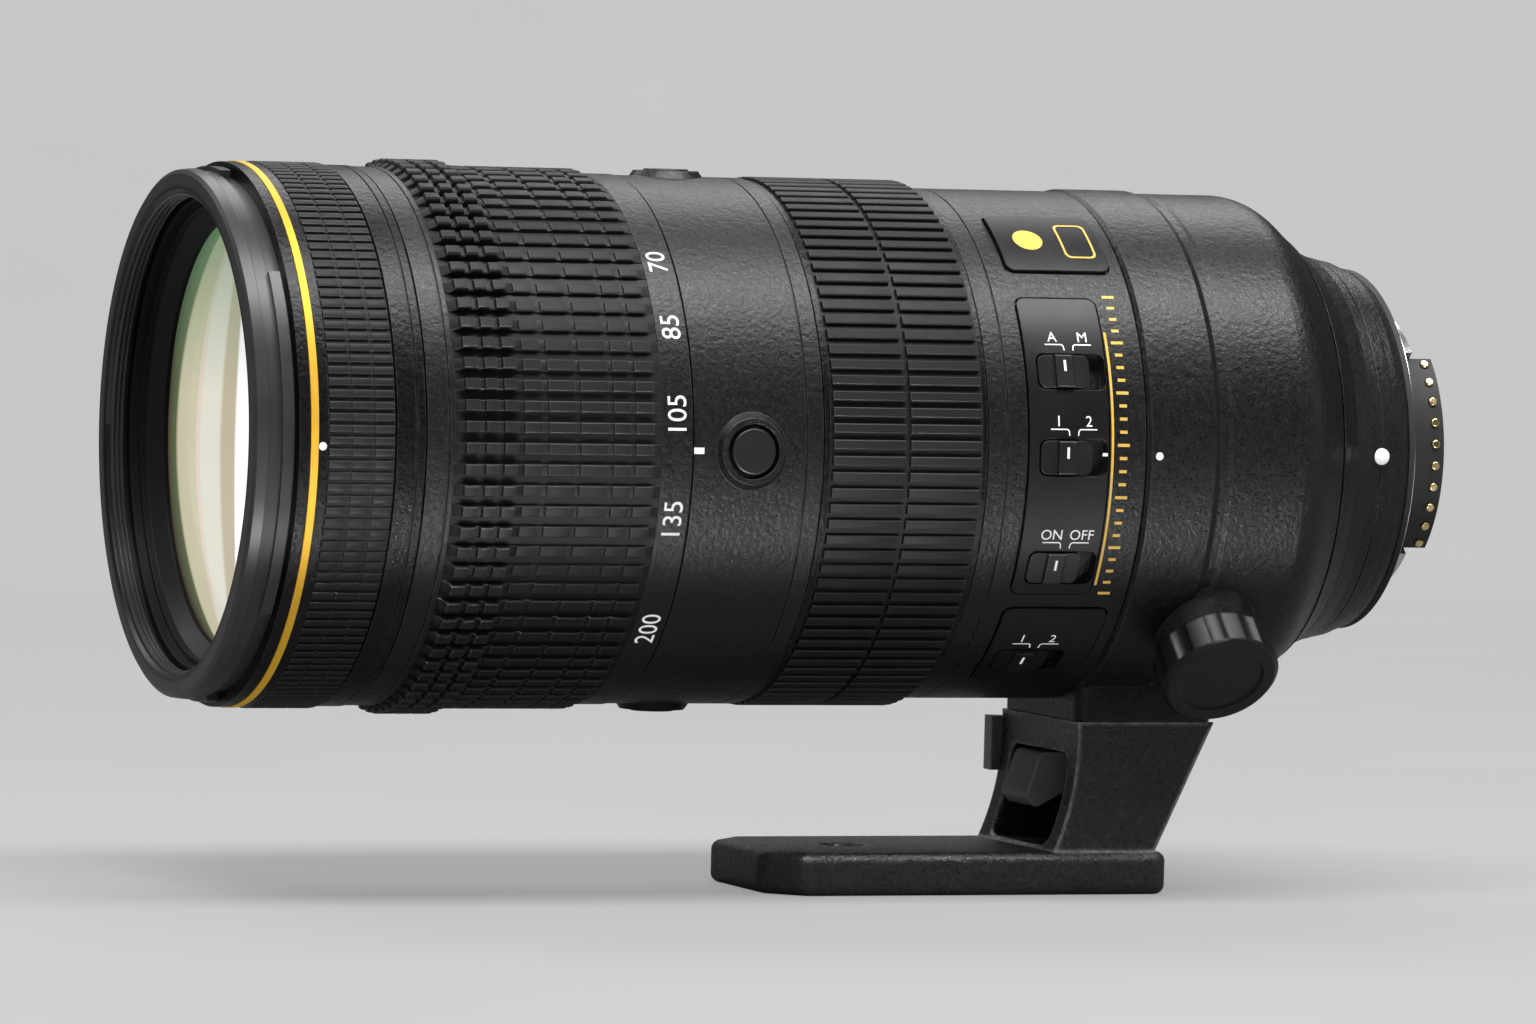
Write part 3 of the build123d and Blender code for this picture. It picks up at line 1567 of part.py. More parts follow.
with BuildPart() as foot:
    with BuildSketch(Plane.XY.offset(foot_floor)) as plate:
        with BuildLine():
            Polyline(
                (plate_rear, plate_half_width),
                (plate_front + corner_cut_length, plate_half_width),
                (plate_front, plate_half_width - corner_cut_width),
                (plate_front, corner_cut_width - plate_half_width),
                (plate_front + corner_cut_length, -plate_half_width),
                (plate_rear, -plate_half_width),
                close=True,
            )
        make_face()
        fillet(plate.vertices(), plate_corner)
    extrude(plate.sketch, amount=plate_thickness)
    fillet(foot.faces().sort_by(Axis.Z)[0].edges(), plate_round)
    fillet(foot.faces().sort_by(Axis.Z)[-1].edges(), plate_round)
    with BuildSketch(Plane.XZ.offset(-shoe_half_width)) as neck:
        with BuildLine():
            Polyline(
                (neck_front, plate_top - plate_round),
                (shoe_back - neck_foot_back, plate_top - plate_round),
                (shoe_back, foot_top),
                (collar_front, foot_top),
            )
            ThreePointArc(
                (collar_front, foot_top),
                ((collar_front + neck_front) / 2 + neck_hollow, (foot_top + plate_top) / 2),
                (neck_front, plate_top - plate_round),
            )
        make_face()
    extrude(neck.sketch, amount=shoe_half_width * 2)
    with BuildSketch(Plane.YZ.offset(neck_front - overrun)) as window:
        with Locations((0, (window_roof + window_floor) / 2)):
            RectangleRounded(window_half_width * 2, window_roof - window_floor, window_corner)
    extrude(window.sketch, amount=window_back - neck_front + overrun, mode=Mode.SUBTRACT)
    with BuildSketch(Plane.YZ.offset(rail_front - foot_gap)) as rail_slot:
        with BuildLine():
            Polyline(
                (-rail_top_half - foot_gap * 2, foot_top + overrun),
                (rail_top_half + foot_gap * 2, foot_top + overrun),
                (rail_top_half + foot_gap * 2, foot_top),
                (rail_half + foot_gap * 2, shoe_floor - rail_depth - foot_gap),
                (-rail_half - foot_gap * 2, shoe_floor - rail_depth - foot_gap),
                (-rail_top_half - foot_gap * 2, foot_top),
                close=True,
            )
        make_face()
    extrude(rail_slot.sketch, amount=shoe_back - rail_front + overrun, mode=Mode.SUBTRACT)
    with BuildSketch(Plane.XY.offset(foot_floor)) as thread_hole:
        with Locations((thread_station, 0)):
            Circle(thread_radius)
    extrude(thread_hole.sketch, amount=plate_thickness, mode=Mode.SUBTRACT)
    with BuildSketch(Plane.YZ.offset(window_back - overrun)) as latch_bore:
        with Locations((0, latch_bore_height)):
            Circle(latch_bore_radius)
    extrude(latch_bore.sketch, amount=latch_bore_back - window_back + overrun, mode=Mode.SUBTRACT)
    for ear_floor in (lever_top + foot_gap, lever_bottom - foot_gap - ear_thickness):
        with BuildSketch(Plane.XY.offset(ear_floor)) as ear:
            with Locations((lever_pivot_station, lever_pivot_offset)):
                Circle(lug_ear_radius)
            with Locations((lever_pivot_station, shoe_half_width)):
                Rectangle(lug_ear_radius * 2, (lever_pivot_offset - shoe_half_width) * 2)
        extrude(ear.sketch, amount=ear_thickness)
    with BuildSketch(Plane.XY.offset(lever_bottom - foot_gap - ear_thickness / 2)) as pivot:
        with Locations((lever_pivot_station, lever_pivot_offset)):
            Circle(lever_pivot_radius)
    extrude(pivot.sketch, amount=lever_top - lever_bottom + foot_gap * 2 + ear_thickness)
save(foot.part, "foot")

# Foot latch: the wedge button in the window, on a guide rod
latch_half_width = 5.1
latch_gap = 0.5
latch_lip = 1.9
latch_chin = 4.4
latch_height = 7.2
latch_chin_height = 9.2
latch_chin_back = 2.6
latch_round = 1.2
latch_travel = 1.8
latch_place = 5.4
latch_back = collar_front + latch_place
latch_roof = window_roof - latch_gap
with BuildPart() as foot_latch:
    with BuildSketch(Plane.XZ.offset(-latch_half_width)) as wedge:
        with BuildLine():
            Polyline(
                (collar_front - latch_lip, latch_roof),
                (collar_front - latch_chin, latch_roof - latch_height),
                (collar_front - latch_chin_back, latch_roof - latch_chin_height),
                (latch_back, latch_roof - latch_height * 2 / 3),
                (latch_back, latch_roof),
                close=True,
            )
        make_face()
        fillet(wedge.vertices().sort_by(Axis.X)[:3], latch_round)
    extrude(wedge.sketch, amount=latch_half_width * 2)
    with BuildSketch(Plane.YZ.offset(latch_back)) as rod:
        with Locations((0, latch_bore_height)):
            Circle(latch_bore_radius - slide_gap * 2 / 3)
    extrude(rod.sketch, amount=latch_bore_back - latch_travel - slide_gap * 2 - latch_back)
save(foot_latch.part, "foot_latch")

# Foot lever: the small lock on the far side of the neck
lever_place = 1.7
lever_front = collar_front - lever_place
lever_thickness = 2.2
lever_lip = 1.0
lever_barrel = 1.75
lever_gap = 0.25
lever_inner = shoe_half_width + lever_gap
with BuildPart() as foot_lever:
    with BuildSketch(Plane.XY.offset(lever_bottom)) as lever_plan:
        with BuildLine():
            Polyline(
                (lever_pivot_station, lever_inner + slide_gap),
                (lever_front, lever_inner),
                (lever_front, lever_inner + lever_thickness + lever_lip),
                (lever_front + lever_lip * 2, lever_inner + lever_thickness),
                (lever_pivot_station, lever_inner + lever_thickness),
                close=True,
            )
        make_face()
        with Locations((lever_pivot_station, lever_pivot_offset)):
            Circle(lever_barrel)
            Circle(lever_pivot_radius + slide_gap / 2, mode=Mode.SUBTRACT)
    extrude(lever_plan.sketch, amount=lever_top - lever_bottom)
save(foot_lever.part, "foot_lever")
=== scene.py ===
import math

import bpy
import numpy as np
from mathutils import Matrix, Vector


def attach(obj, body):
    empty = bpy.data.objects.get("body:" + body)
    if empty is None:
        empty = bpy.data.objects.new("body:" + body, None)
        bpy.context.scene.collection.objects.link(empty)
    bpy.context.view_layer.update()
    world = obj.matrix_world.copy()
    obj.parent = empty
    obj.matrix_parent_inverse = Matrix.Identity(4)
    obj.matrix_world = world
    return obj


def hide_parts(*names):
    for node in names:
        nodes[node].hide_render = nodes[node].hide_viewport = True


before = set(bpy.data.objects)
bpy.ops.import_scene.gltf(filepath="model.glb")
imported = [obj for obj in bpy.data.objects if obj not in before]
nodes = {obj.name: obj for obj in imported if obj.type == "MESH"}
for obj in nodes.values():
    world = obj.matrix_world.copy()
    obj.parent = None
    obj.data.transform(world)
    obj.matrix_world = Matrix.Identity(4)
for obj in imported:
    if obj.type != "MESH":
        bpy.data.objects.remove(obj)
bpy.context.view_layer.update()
mm = 0.001  # every mark and grip below is in millimetres
print("frame loaded", len(nodes), "nodes")


class Wire:
    # one socket of a node; arithmetic on it makes Math nodes
    def __init__(self, graph, socket):
        self.graph = graph
        self.socket = socket

    def __add__(self, other):
        return self.graph.math("ADD", self, other)

    def __sub__(self, other):
        return self.graph.math("SUBTRACT", self, other)

    def __rsub__(self, other):
        return self.graph.math("SUBTRACT", other, self)

    def __mul__(self, other):
        return self.graph.math("MULTIPLY", self, other)

    def __truediv__(self, other):
        return self.graph.math("DIVIDE", self, other)

    def __rtruediv__(self, other):
        return self.graph.math("DIVIDE", other, self)

    def __pow__(self, other):
        return self.graph.math("POWER", self, other)

    def __rpow__(self, other):
        return self.graph.math("POWER", other, self)

    __radd__ = __add__
    __rmul__ = __mul__

    def clamp(self):
        return self.graph.math("MAXIMUM", self.graph.math("MINIMUM", self, 1.0), 0.0)

    def between(self, low, high):
        # (value - low) / (high - low), kept from 0 to 1
        return ((self - low) * (1 / (high - low))).clamp()


class Graph:
    # the nodes of one material or world
    def __init__(self, holder):
        self.holder = holder
        holder.use_nodes = True
        self.tree = holder.node_tree
        self.tree.nodes.clear()

    def feed(self, socket, value):
        # a link, a colour without its alpha, or a plain value
        if isinstance(value, Wire):
            self.tree.links.new(value.socket, socket)
        elif isinstance(value, tuple) and len(value) < len(socket.default_value):
            socket.default_value = (*value, 1.0)
        else:
            socket.default_value = value

    def node(self, kind, inputs=None, output=0, stops=(), **settings):
        # settings and a ramp's stops come first, then the values or links of the sockets
        made = self.tree.nodes.new(kind)
        for key, value in settings.items():
            setattr(made, key, value)
        for _ in stops[2:]:
            made.color_ramp.elements.new(0.5)
        for index, (position, color) in enumerate(stops):
            made.color_ramp.elements[index].position = position
            made.color_ramp.elements[index].color = (*color, 1.0)
        for key, value in (inputs or {}).items():
            self.feed(made.inputs[key], value)
        return Wire(self, made.outputs[output]) if made.outputs else None

    def math(self, operation, *values):
        return self.node("ShaderNodeMath", dict(enumerate(values)), operation=operation)

    def place(self):
        return self.node("ShaderNodeTexCoord", output="Object")

    def coordinate(self, axis):
        # 0, 1 or 2 for the place along X, Y or Z
        return self.node("ShaderNodeSeparateXYZ", {"Vector": self.place()}, output=axis)

    def ray(self, kind):
        # 1 for rays of this kind, such as Is Camera Ray
        return self.node("ShaderNodeLightPath", output=kind)

    def facing(self, blend):
        # 0 where the surface looks at the viewer, 1 where it is seen at a slant
        return self.node("ShaderNodeLayerWeight", {"Blend": blend}, output="Facing")

    def rounded(self, radius):
        # the normal as if every edge had this radius, and a mask of those edges, which is
        # 1 - (rounded normal . plain normal) between the two mask values
        soft = self.node("ShaderNodeBevel", {"Radius": radius}, samples=edgeLook["samples"])
        plain = self.node("ShaderNodeNewGeometry", output="Normal")
        same = self.node(
            "ShaderNodeVectorMath", {0: soft, 1: plain}, "Value", operation="DOT_PRODUCT"
        )
        return soft, (1 - same).between(*edgeLook["mask"])

    def noise(self, scale, detail=2.0, roughness=0.5):
        inputs = {
            "Vector": self.place(),
            "Scale": scale,
            "Detail": detail,
            "Roughness": roughness,
        }
        return self.node("ShaderNodeTexNoise", inputs)

    def blend(self, factor, first, second):
        inputs = {"Factor": factor, 6: first, 7: second}
        return self.node("ShaderNodeMix", inputs, output=2, data_type="RGBA")

    def mixed(self, factor, first, second):
        return self.node("ShaderNodeMixShader", {0: factor, 1: first, 2: second})

    def bump(self, height, distance, normal=None):
        inputs = {"Height": height, "Distance": distance}
        if normal:
            inputs["Normal"] = normal
        return self.node("ShaderNodeBump", inputs)

    def surface(self, **inputs):
        named = {key.replace("_", " "): value for key, value in inputs.items()}
        return self.node("ShaderNodeBsdfPrincipled", named)

    def finish(self, shader, kind="ShaderNodeOutputMaterial"):
        self.node(kind, {0: shader})
        return self.holder


edgeLook = {"samples": 4, "mask": (0.015, 0.12)}


def newLook(name):
    return Graph(bpy.data.materials.new(name))


def tinted(color, share):
    # the colour with each channel times the share
    return tuple(channel * share for channel in color)


def weighted(shares, wires):
    # the sum of each wire times its share
    total = wires[0] * shares[0]
    for share, wire in zip(shares[1:], wires[1:]):
        total = total + wire * share
    return total


black = (0.0, 0.0, 0.0)

# Coated shell: a fine crinkle paint with small glints painted as pale specks, and edges painted
# paler, partly as wear and partly as a painted edge highlight
shellLook = {
    "dark": (0.0032, 0.0032, 0.0035),
    "light": (0.032, 0.032, 0.0325),
    # colour of the paler edges: wear and a painted edge highlight
    "edgeWearAndSheen": (0.085, 0.085, 0.087),
    "grain": 1500,  # crinkles in a metre
    "scales": (1.7, 0.6, 1 / 9, 0.7),  # fine, medium and broad noise and cells, to the grain
    "relief": (0.5, 0.6, 0.35),  # shares of the fine and medium noise and the cells
    "pale": (0.06, 0.16, 0.8),  # shares of the broad and medium noise and the specks, which are painted glints
    "grainHeight": 0.00012,
    "roughness": (0.26, 0.52),
    "specular": 0.34,
    "edge": 0.00025,  # radius of the softened edges
    "wear": (0.35, 0.65),  # noise where an edge starts to turn pale and where it is palest, as wear and a painted edge highlight
    "glint": (0.61, 0.72),  # noise where a painted glint starts, and is at its palest
    "glintGloss": 0.12,
}
bandLook = {
    **shellLook,
    "dark": (0.0018, 0.0018, 0.002),
    "light": (0.019, 0.019, 0.0195),
    "roughness": (0.22, 0.45),
    "specular": 0.23,
}
collarLook = {**shellLook, "roughness": (0.23, 0.49)}
footLook = {
    **shellLook,
    "dark": (0.0075, 0.0075, 0.0078),
    "light": (0.06, 0.06, 0.061),
    # the pale edges here are mostly a painted highlight line along the plate's edges, with some
    # wear
    "edgeWearAndSheen": (0.36, 0.36, 0.365),
    "grainHeight": 0.0002,
    "roughness": (0.18, 0.44),
    "edge": 0.0011,
    "specular": 0.55,
    "wear": (0.27, 0.57),
}


def shellPaint(name, look):
    # colour: mostly dark, paler with the noise, with glints painted as pale specks, and edges
    # paler as wear and a painted edge highlight;
    # relief: a sum of two noises and the distance to the nearest cell
    graph = newLook(name)
    scales = [share * look["grain"] for share in look["scales"]]
    fine = graph.noise(scales[0], 3.0, 0.62)
    medium = graph.noise(scales[1], 3.0, 0.6)
    broad = graph.noise(scales[2], 3.0, 0.6)
    cells = graph.node(
        "ShaderNodeTexVoronoi", {"Vector": graph.place(), "Scale": scales[3]}, feature="F1"
    )
    soft, edges = graph.rounded(look["edge"])
    # the specks are painted glints: paler colour as well as lower roughness
    glint = fine.between(*look["glint"])
    relief = weighted(look["relief"], (fine, medium, cells))
    pale = weighted(look["pale"], (broad, medium, glint))
    smooth, rough = look["roughness"]
    roughShare = (medium * 0.25 + fine * 0.75).between(0.34, 0.66)
    # edges made paler, as wear and as a painted edge highlight
    edgeWearAndSheen = edges * (medium * 0.5 + broad * 0.5).between(*look["wear"])
    painted = graph.blend(pale, look["dark"], look["light"])
    return graph.finish(
        graph.surface(
            Base_Color=graph.blend(edgeWearAndSheen, painted, look["edgeWearAndSheen"]),
            Roughness=roughShare * (rough - smooth) + smooth - glint * look["glintGloss"],
            Specular_IOR_Level=look["specular"],
            Normal=graph.bump(relief, look["grainHeight"], soft),
        )
    )


# Smooth satin parts, moulded or turned. A look below changes what it names of these.
satinBase = {
    "fine": 3800,  # scales of the two noises
    "broad": 160,
    "shades": (0.75, 1.2, 2.4),  # darkest and lightest share of the colour, and at edges as wear and a painted edge highlight
    "spread": 0.14,  # of the roughness, with the broad noise
    "relief": 0.000004,
    "specular": 0.5,
    "edge": 0.0002,
    "mouth": None,  # within this radius about the optical axis the colour is darker
    "mouthEdge": 0.0004,
    "mouthShade": 0.8,
}
satinLooks = {
    "rim": {
        "name": "rimSatin",
        "color": (0.03, 0.03, 0.0305),
        "roughness": 0.36,
        "specular": 0.4,
        "mouth": 0.0394,
    },
    "baffle": {
        "name": "baffleMatte",
        "color": (0.004, 0.004, 0.0043),
        "roughness": 0.5,
        "specular": 0.3,
    },
    "knob": {
        "name": "knobSatin",
        "color": (0.006, 0.006, 0.0062),
        "roughness": 0.34,
        "relief": 0.000012,
        "specular": 0.34,
        "edge": 0.0007,
    },
    "panel": {
        "name": "panelSatin",
        "color": (0.0065, 0.0065, 0.007),
        "roughness": 0.38,
        "specular": 0.32,
    },
    "switch": {"name": "switchSatin", "color": (0.007, 0.007, 0.0073), "roughness": 0.34},
    "button": {"name": "buttonSatin", "color": (0.006, 0.006, 0.0064), "roughness": 0.38},
    "latch": {
        "name": "latchSatin",
        "color": (0.09, 0.09, 0.091),
        "roughness": 0.34,
        "edge": 0.0008,
    },
    "gasket": {"name": "gasketRubber", "color": (0.014, 0.014, 0.015), "roughness": 0.6},
    "inner": {"name": "innerMatte", "color": (0.012, 0.012, 0.012), "roughness": 0.6},
    "blade": {"name": "bladeCoat", "color": (0.014, 0.014, 0.015), "roughness": 0.45},
    # flat dark strokes that paint the shade in the screws' cross recesses
    "hole": {"name": "paintedRecessShade", "color": (0.01, 0.01, 0.01), "roughness": 0.5},
    "thread": {
        "name": "threadSatin",
        "color": (0.03, 0.03, 0.031),
        "roughness": 0.3,
        "edge": 0.0001,
    },
}


def satin(look):
    # colour: from the darker to the lighter shade with the broad noise, and paler at edges,
    # partly as wear and partly as a painted edge highlight
    look = {**satinBase, **look}
    graph = newLook(look["name"])
    darker, lighter, paler = (tinted(look["color"], share) for share in look["shades"])
    fine = graph.noise(look["fine"], 2.0)
    broad = graph.noise(look["broad"], 3.0)
    soft, edges = graph.rounded(look["edge"])
    plain = graph.blend(broad, darker, lighter)
    if look["mouth"]:
        # radius about the axis = sqrt(y^2 + z^2)
        across, upward = graph.coordinate(1), graph.coordinate(2)
        reach = (across * across + upward * upward) ** 0.5
        inside = 1 - reach.between(look["mouth"] - look["mouthEdge"], look["mouth"])
        plain = graph.blend(inside * look["mouthShade"], plain, black)
    return graph.finish(
        graph.surface(
            # edges paler: wear and a painted edge highlight
            Base_Color=graph.blend(edges * (broad * 0.8 + 0.1), plain, paler),
            Roughness=broad * look["spread"] + (look["roughness"] - look["spread"] / 2),
            Specular_IOR_Level=look["specular"],
            Normal=graph.bump(fine, look["relief"], soft),
        )
    )


# Printed marks, with a faint glow so that those in shade still read
inkBase = {"broad": 900, "thin": 0.82, "specular": 0.3, "spread": 0.14, "relief": 0.000003}
inkLooks = {
    "white": {
        "name": "whiteInk",
        "color": (0.78, 0.78, 0.77),
        "roughness": 0.5,
        "glow": 0.32,
    },
    "goldInk": {
        "name": "goldInk",
        "color": (0.68, 0.42, 0.075),
        "roughness": 0.42,
        "glow": 0.22,
    },
}


def ink(look):
    # colour: from thin print to full print with the noise
    look = {**inkBase, **look}
    graph = newLook(look["name"])
    broad = graph.noise(look["broad"], 3.0)
    return graph.finish(
        graph.surface(
            Base_Color=graph.blend(broad, tinted(look["color"], look["thin"]), look["color"]),
            Roughness=broad * look["spread"] + (look["roughness"] - look["spread"] / 2),
            Specular_IOR_Level=look["specular"],
            Emission_Color=look["color"],
            Emission_Strength=look["glow"],
            Normal=graph.bump(broad, look["relief"]),
        )
    )


# Moulded rubber: the grooves are painted darker as shade and the blocks' edges paler as a
# painted highlight, from a mesh attribute
rubberLook = {
    # valley: painted shade in the grooves; edge: painted highlight on the blocks' edges
    "valley": (0.0048, 0.0048, 0.005),
    "face": (0.0075, 0.0075, 0.0078),
    "edge": (0.065, 0.065, 0.066),
    "roughness": 0.47,
    "specular": 0.27,
    "fine": 4200,
    "broad": 240,
    "relief": 0.000006,
}


def rubber(name, look):
    # the attribute is 0 in a valley, which is painted darker as shade, 0.5 on a block's face
    # and 1 at its edge, which is painted paler as a highlight
    graph = newLook(name)
    wear = graph.node("ShaderNodeAttribute", output="Fac", attribute_name="wear")
    fine = graph.noise(look["fine"], 2.0)
    broad = graph.noise(look["broad"], 3.0)
    # painted shade: the valleys darker than the faces
    faces = graph.blend(wear.between(0.0, 0.5), look["valley"], look["face"])
    # painted highlight along the blocks' edges
    edges = wear.between(0.62, 1.0) * (broad * 0.6 + 0.5)
    return graph.finish(
        graph.surface(
            Base_Color=graph.blend(edges, faces, look["edge"]),
            Roughness=broad * 0.16 + look["roughness"],
            Specular_IOR_Level=look["specular"],
            Normal=graph.bump(fine, look["relief"]),
        )
    )


# Bare and plated metal. A look below changes what it names of these.
metalBase = {
    "turned": 0.0,  # how much the turning marks show
    "rings": 9000,
    "broad": 300,
    "dull": 0.86,
    "metallic": 1.0,
    "glow": 0.0,
    "relief": 0.000004,
}
metalLooks = {
    "gold": {
        "name": "goldRing",
        "color": (0.66, 0.37, 0.026),
        "roughness": 0.5,
        "turned": 0.5,
        "metallic": 0.55,
        # a painted glow that stands in for the ring's bright reflection
        "glow": 0.2,
    },
    "chrome": {
        "name": "flangeChrome",
        "color": (0.82, 0.82, 0.84),
        "roughness": 0.22,
        "turned": 0.9,
    },
    "steel": {"name": "screwSteel", "color": (0.62, 0.62, 0.64), "roughness": 0.32},
    "stator": {"name": "statorMetal", "color": (0.5, 0.46, 0.4), "roughness": 0.4},
    "contact": {"name": "contactGold", "color": (0.93, 0.72, 0.36), "roughness": 0.26},
}


def metal(look):
    # turning marks: the sine of rings * x along the optical axis, times turned
    look = {**metalBase, **look}
    graph = newLook(look["name"])
    color = look["color"]
    broad = graph.noise(look["broad"], 3.0)
    rings = graph.math("SINE", graph.coordinate(0) * look["rings"])
    return graph.finish(
        graph.surface(
            Base_Color=graph.blend(broad, tinted(color, look["dull"]), color),
            Metallic=look["metallic"],
            # the glow is emission: light painted onto the metal
            Emission_Color=color,
            Emission_Strength=look["glow"],
            Roughness=broad * 0.12 + (look["roughness"] - 0.04),
            Normal=graph.bump(rings * look["turned"] + broad * 0.3, look["relief"]),
        )
    )


# Front glass: clear and dark seen square on, and at a slant a painted reflection: bands of
# tints that glow
frontGlassLook = {
    "radius": 0.0342,
    "white": (1.0, 1.0, 1.0),
    "cream": (0.7, 0.68, 0.58),
    "pink": (0.7, 0.6, 0.5),
    "sand": (0.5, 0.44, 0.32),
    "olive": (0.56, 0.53, 0.37),
    "moss": (0.1, 0.12, 0.06),
    "brown": (0.06, 0.05, 0.03),
    "bands": (  # each band of the painted reflection: a tint, and where it starts and ends as shares of the way across
        ("white", 0.0, 0.28),
        ("sand", 0.29, 0.36),
        ("cream", 0.38, 0.5),
        ("pink", 0.52, 0.54),
        ("olive", 0.55, 0.73),
        ("moss", 0.77, 0.8),
        ("brown", 0.95, 1.0),
    ),
    "upper": (0.12, 0.24, 0.13),  # the painted reflection turns towards this colour near the top
    "upperFrom": 0.006,
    # emission that makes the painted reflection glow
    "glow": 0.92,
    "square": (0.012, 0.02, 0.016),
    "squareAlpha": 0.5,
    "slant": (0.2, 0.42),
}


def paintedReflectionGlass(name, look):
    # share across = y / sqrt(radius^2 - z^2) / 2 + 1/2, so the bands of the painted reflection
    # meet at top and bottom
    graph = newLook(name)
    across, upward = graph.coordinate(1), graph.coordinate(2)
    chord = graph.math("MAXIMUM", look["radius"] ** 2 - upward * upward, 1e-6) ** 0.5
    share = ((across / chord) * 0.5 + 0.5).clamp()
    stops = [(edge, look[tint]) for tint, *edges in look["bands"] for edge in edges]
    bands = graph.node("ShaderNodeValToRGB", {0: share}, stops=stops)
    height = upward.between(look["upperFrom"], look["radius"])
    tint = graph.blend(height * 0.75, bands, look["upper"])
    # at a slant, the painted reflection: the band tints as colour and as a glow
    slanted = graph.surface(
        Base_Color=graph.blend(0.8, tint, black),
        Roughness=0.07,
        Specular_IOR_Level=0.6,
        Emission_Color=tint,
        Emission_Strength=look["glow"],
    )
    square = graph.surface(
        Base_Color=look["square"],
        Roughness=0.03,
        Specular_IOR_Level=0.9,
        Alpha=look["squareAlpha"],
    )
    return graph.finish(graph.mixed(graph.facing(0.5).between(*look["slant"]), square, slanted))


innerGlassLook = {
    "square": (0.01, 0.012, 0.014),
    "slanted": (0.16, 0.22, 0.18),
    "alpha": (0.35, 0.85),
}


def clearGlass(name, look):
    # alpha: from the first value seen square on to the second at a slant
    graph = newLook(name)
    facing = graph.facing(0.4)
    thin, thick = look["alpha"]
    return graph.finish(
        graph.surface(
            Base_Color=graph.blend(facing, look["square"], look["slanted"]),
            Roughness=0.04,
            Specular_IOR_Level=0.9,
            Alpha=facing * (thick - thin) + thin,
        )
    )


materials = {
    "shell": shellPaint("shellPaint", shellLook),
    "band": shellPaint("bandPaint", bandLook),
    "collar": shellPaint("collarPaint", collarLook),
    "foot": shellPaint("footPaint", footLook),
    "rubber": rubber("mouldedRubber", rubberLook),
    "frontGlass": paintedReflectionGlass("paintedReflectionFrontGlass", frontGlassLook),
    "glass": clearGlass("clearGlass", innerGlassLook),
}
for make, looks in ((satin, satinLooks), (ink, inkLooks), (metal, metalLooks)):
    for key, look in looks.items():
        materials[key] = make(look)

# The look of each CAD node
nodeLooks = {
    "shell": "zoom_ring button_housing switch_housing",
    "band": "front_barrel focus_ring",
    "collar": "tripod_collar rear_cone",
    "foot": "foot",
    "rim": "front_rim",
    "baffle": "front_baffle",
    "knob": "clamp_knob",
    "panel": "switch_panels",
    "switch": "focus_mode_switch focus_limit_switch stabiliser_switch stabiliser_mode_switch",
    "button": "function_button_1 function_button_2 function_button_3 function_button_4",
    "latch": "foot_latch foot_lever",
    "rubber": "front_grip zoom_grip focus_grip",
    "gasket": "mount_gasket",
    "inner": "guide_barrel cam_barrel variator_cell compensator_cell inner_barrel focus_cell"
    " rear_barrel iris_housing iris_ring stabiliser_frame stabiliser_cell motor_rotor"
    " contact_block",
    "blade": " ".join(f"iris_blade_{number}" for number in range(1, 10)),
    "gold": "gold_ring",
    "chrome": "mount_plate",
    "steel": "mount_screws",
    "stator": "motor_stator",
    "contact": "contact_pins",
    "frontGlass": "front_element",
    "glass": "front_inner_lens variator_lens compensator_lens focus_lens stabiliser_lens"
    " rear_lenses",
}
for look, names in nodeLooks.items():
    for name in names.split():
        slots = nodes[name].data.materials
        for index in range(len(slots)):
            slots[index] = materials[look]
print("materials done", len(materials))


def newObject(name, points, faces, material, crease=35):
    # a smooth mesh, with edges of more than crease degrees left sharp
    mesh = bpy.data.meshes.new(name)
    mesh.from_pydata(points.tolist(), [], faces)
    mesh.shade_smooth()
    mesh.set_sharp_from_angle(angle=math.radians(crease))
    mesh.materials.append(material)
    made = bpy.data.objects.new(name, mesh)
    bpy.context.scene.collection.objects.link(made)
    return made


def gridFaces(rows, columns, closed=False):
    # one quad for each cell; a closed grid also joins its last column to its first
    index = np.arange(rows * columns).reshape(rows, columns)
    left = index if closed else index[:, :-1]
    right = np.roll(index, -1, axis=1) if closed else index[:, 1:]
    quads = np.stack([left[:-1], left[1:], right[1:], right[:-1]], axis=-1)
    return quads.reshape(-1, 4).tolist()


def makePiece(name, points, body, material, closed=False):
    # points is a grid of rows by columns; faces look out where rows run along +X and
    # columns run up the switch side
    faces = gridFaces(*points.shape[:2], closed)
    piece = newObject(name, points.reshape(-1, 3), faces, materials[material])
    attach(piece, body)


def onRing(station, height, radius):
    # x = station, y = -radius cos(height), z = radius sin(height): height is an angle on
    # the switch side, up positive
    return np.stack(
        [
            station * np.ones_like(height * radius),
            -radius * np.cos(height) * np.ones_like(station),
            radius * np.sin(height) * np.ones_like(station),
        ],
        axis=-1,
    )


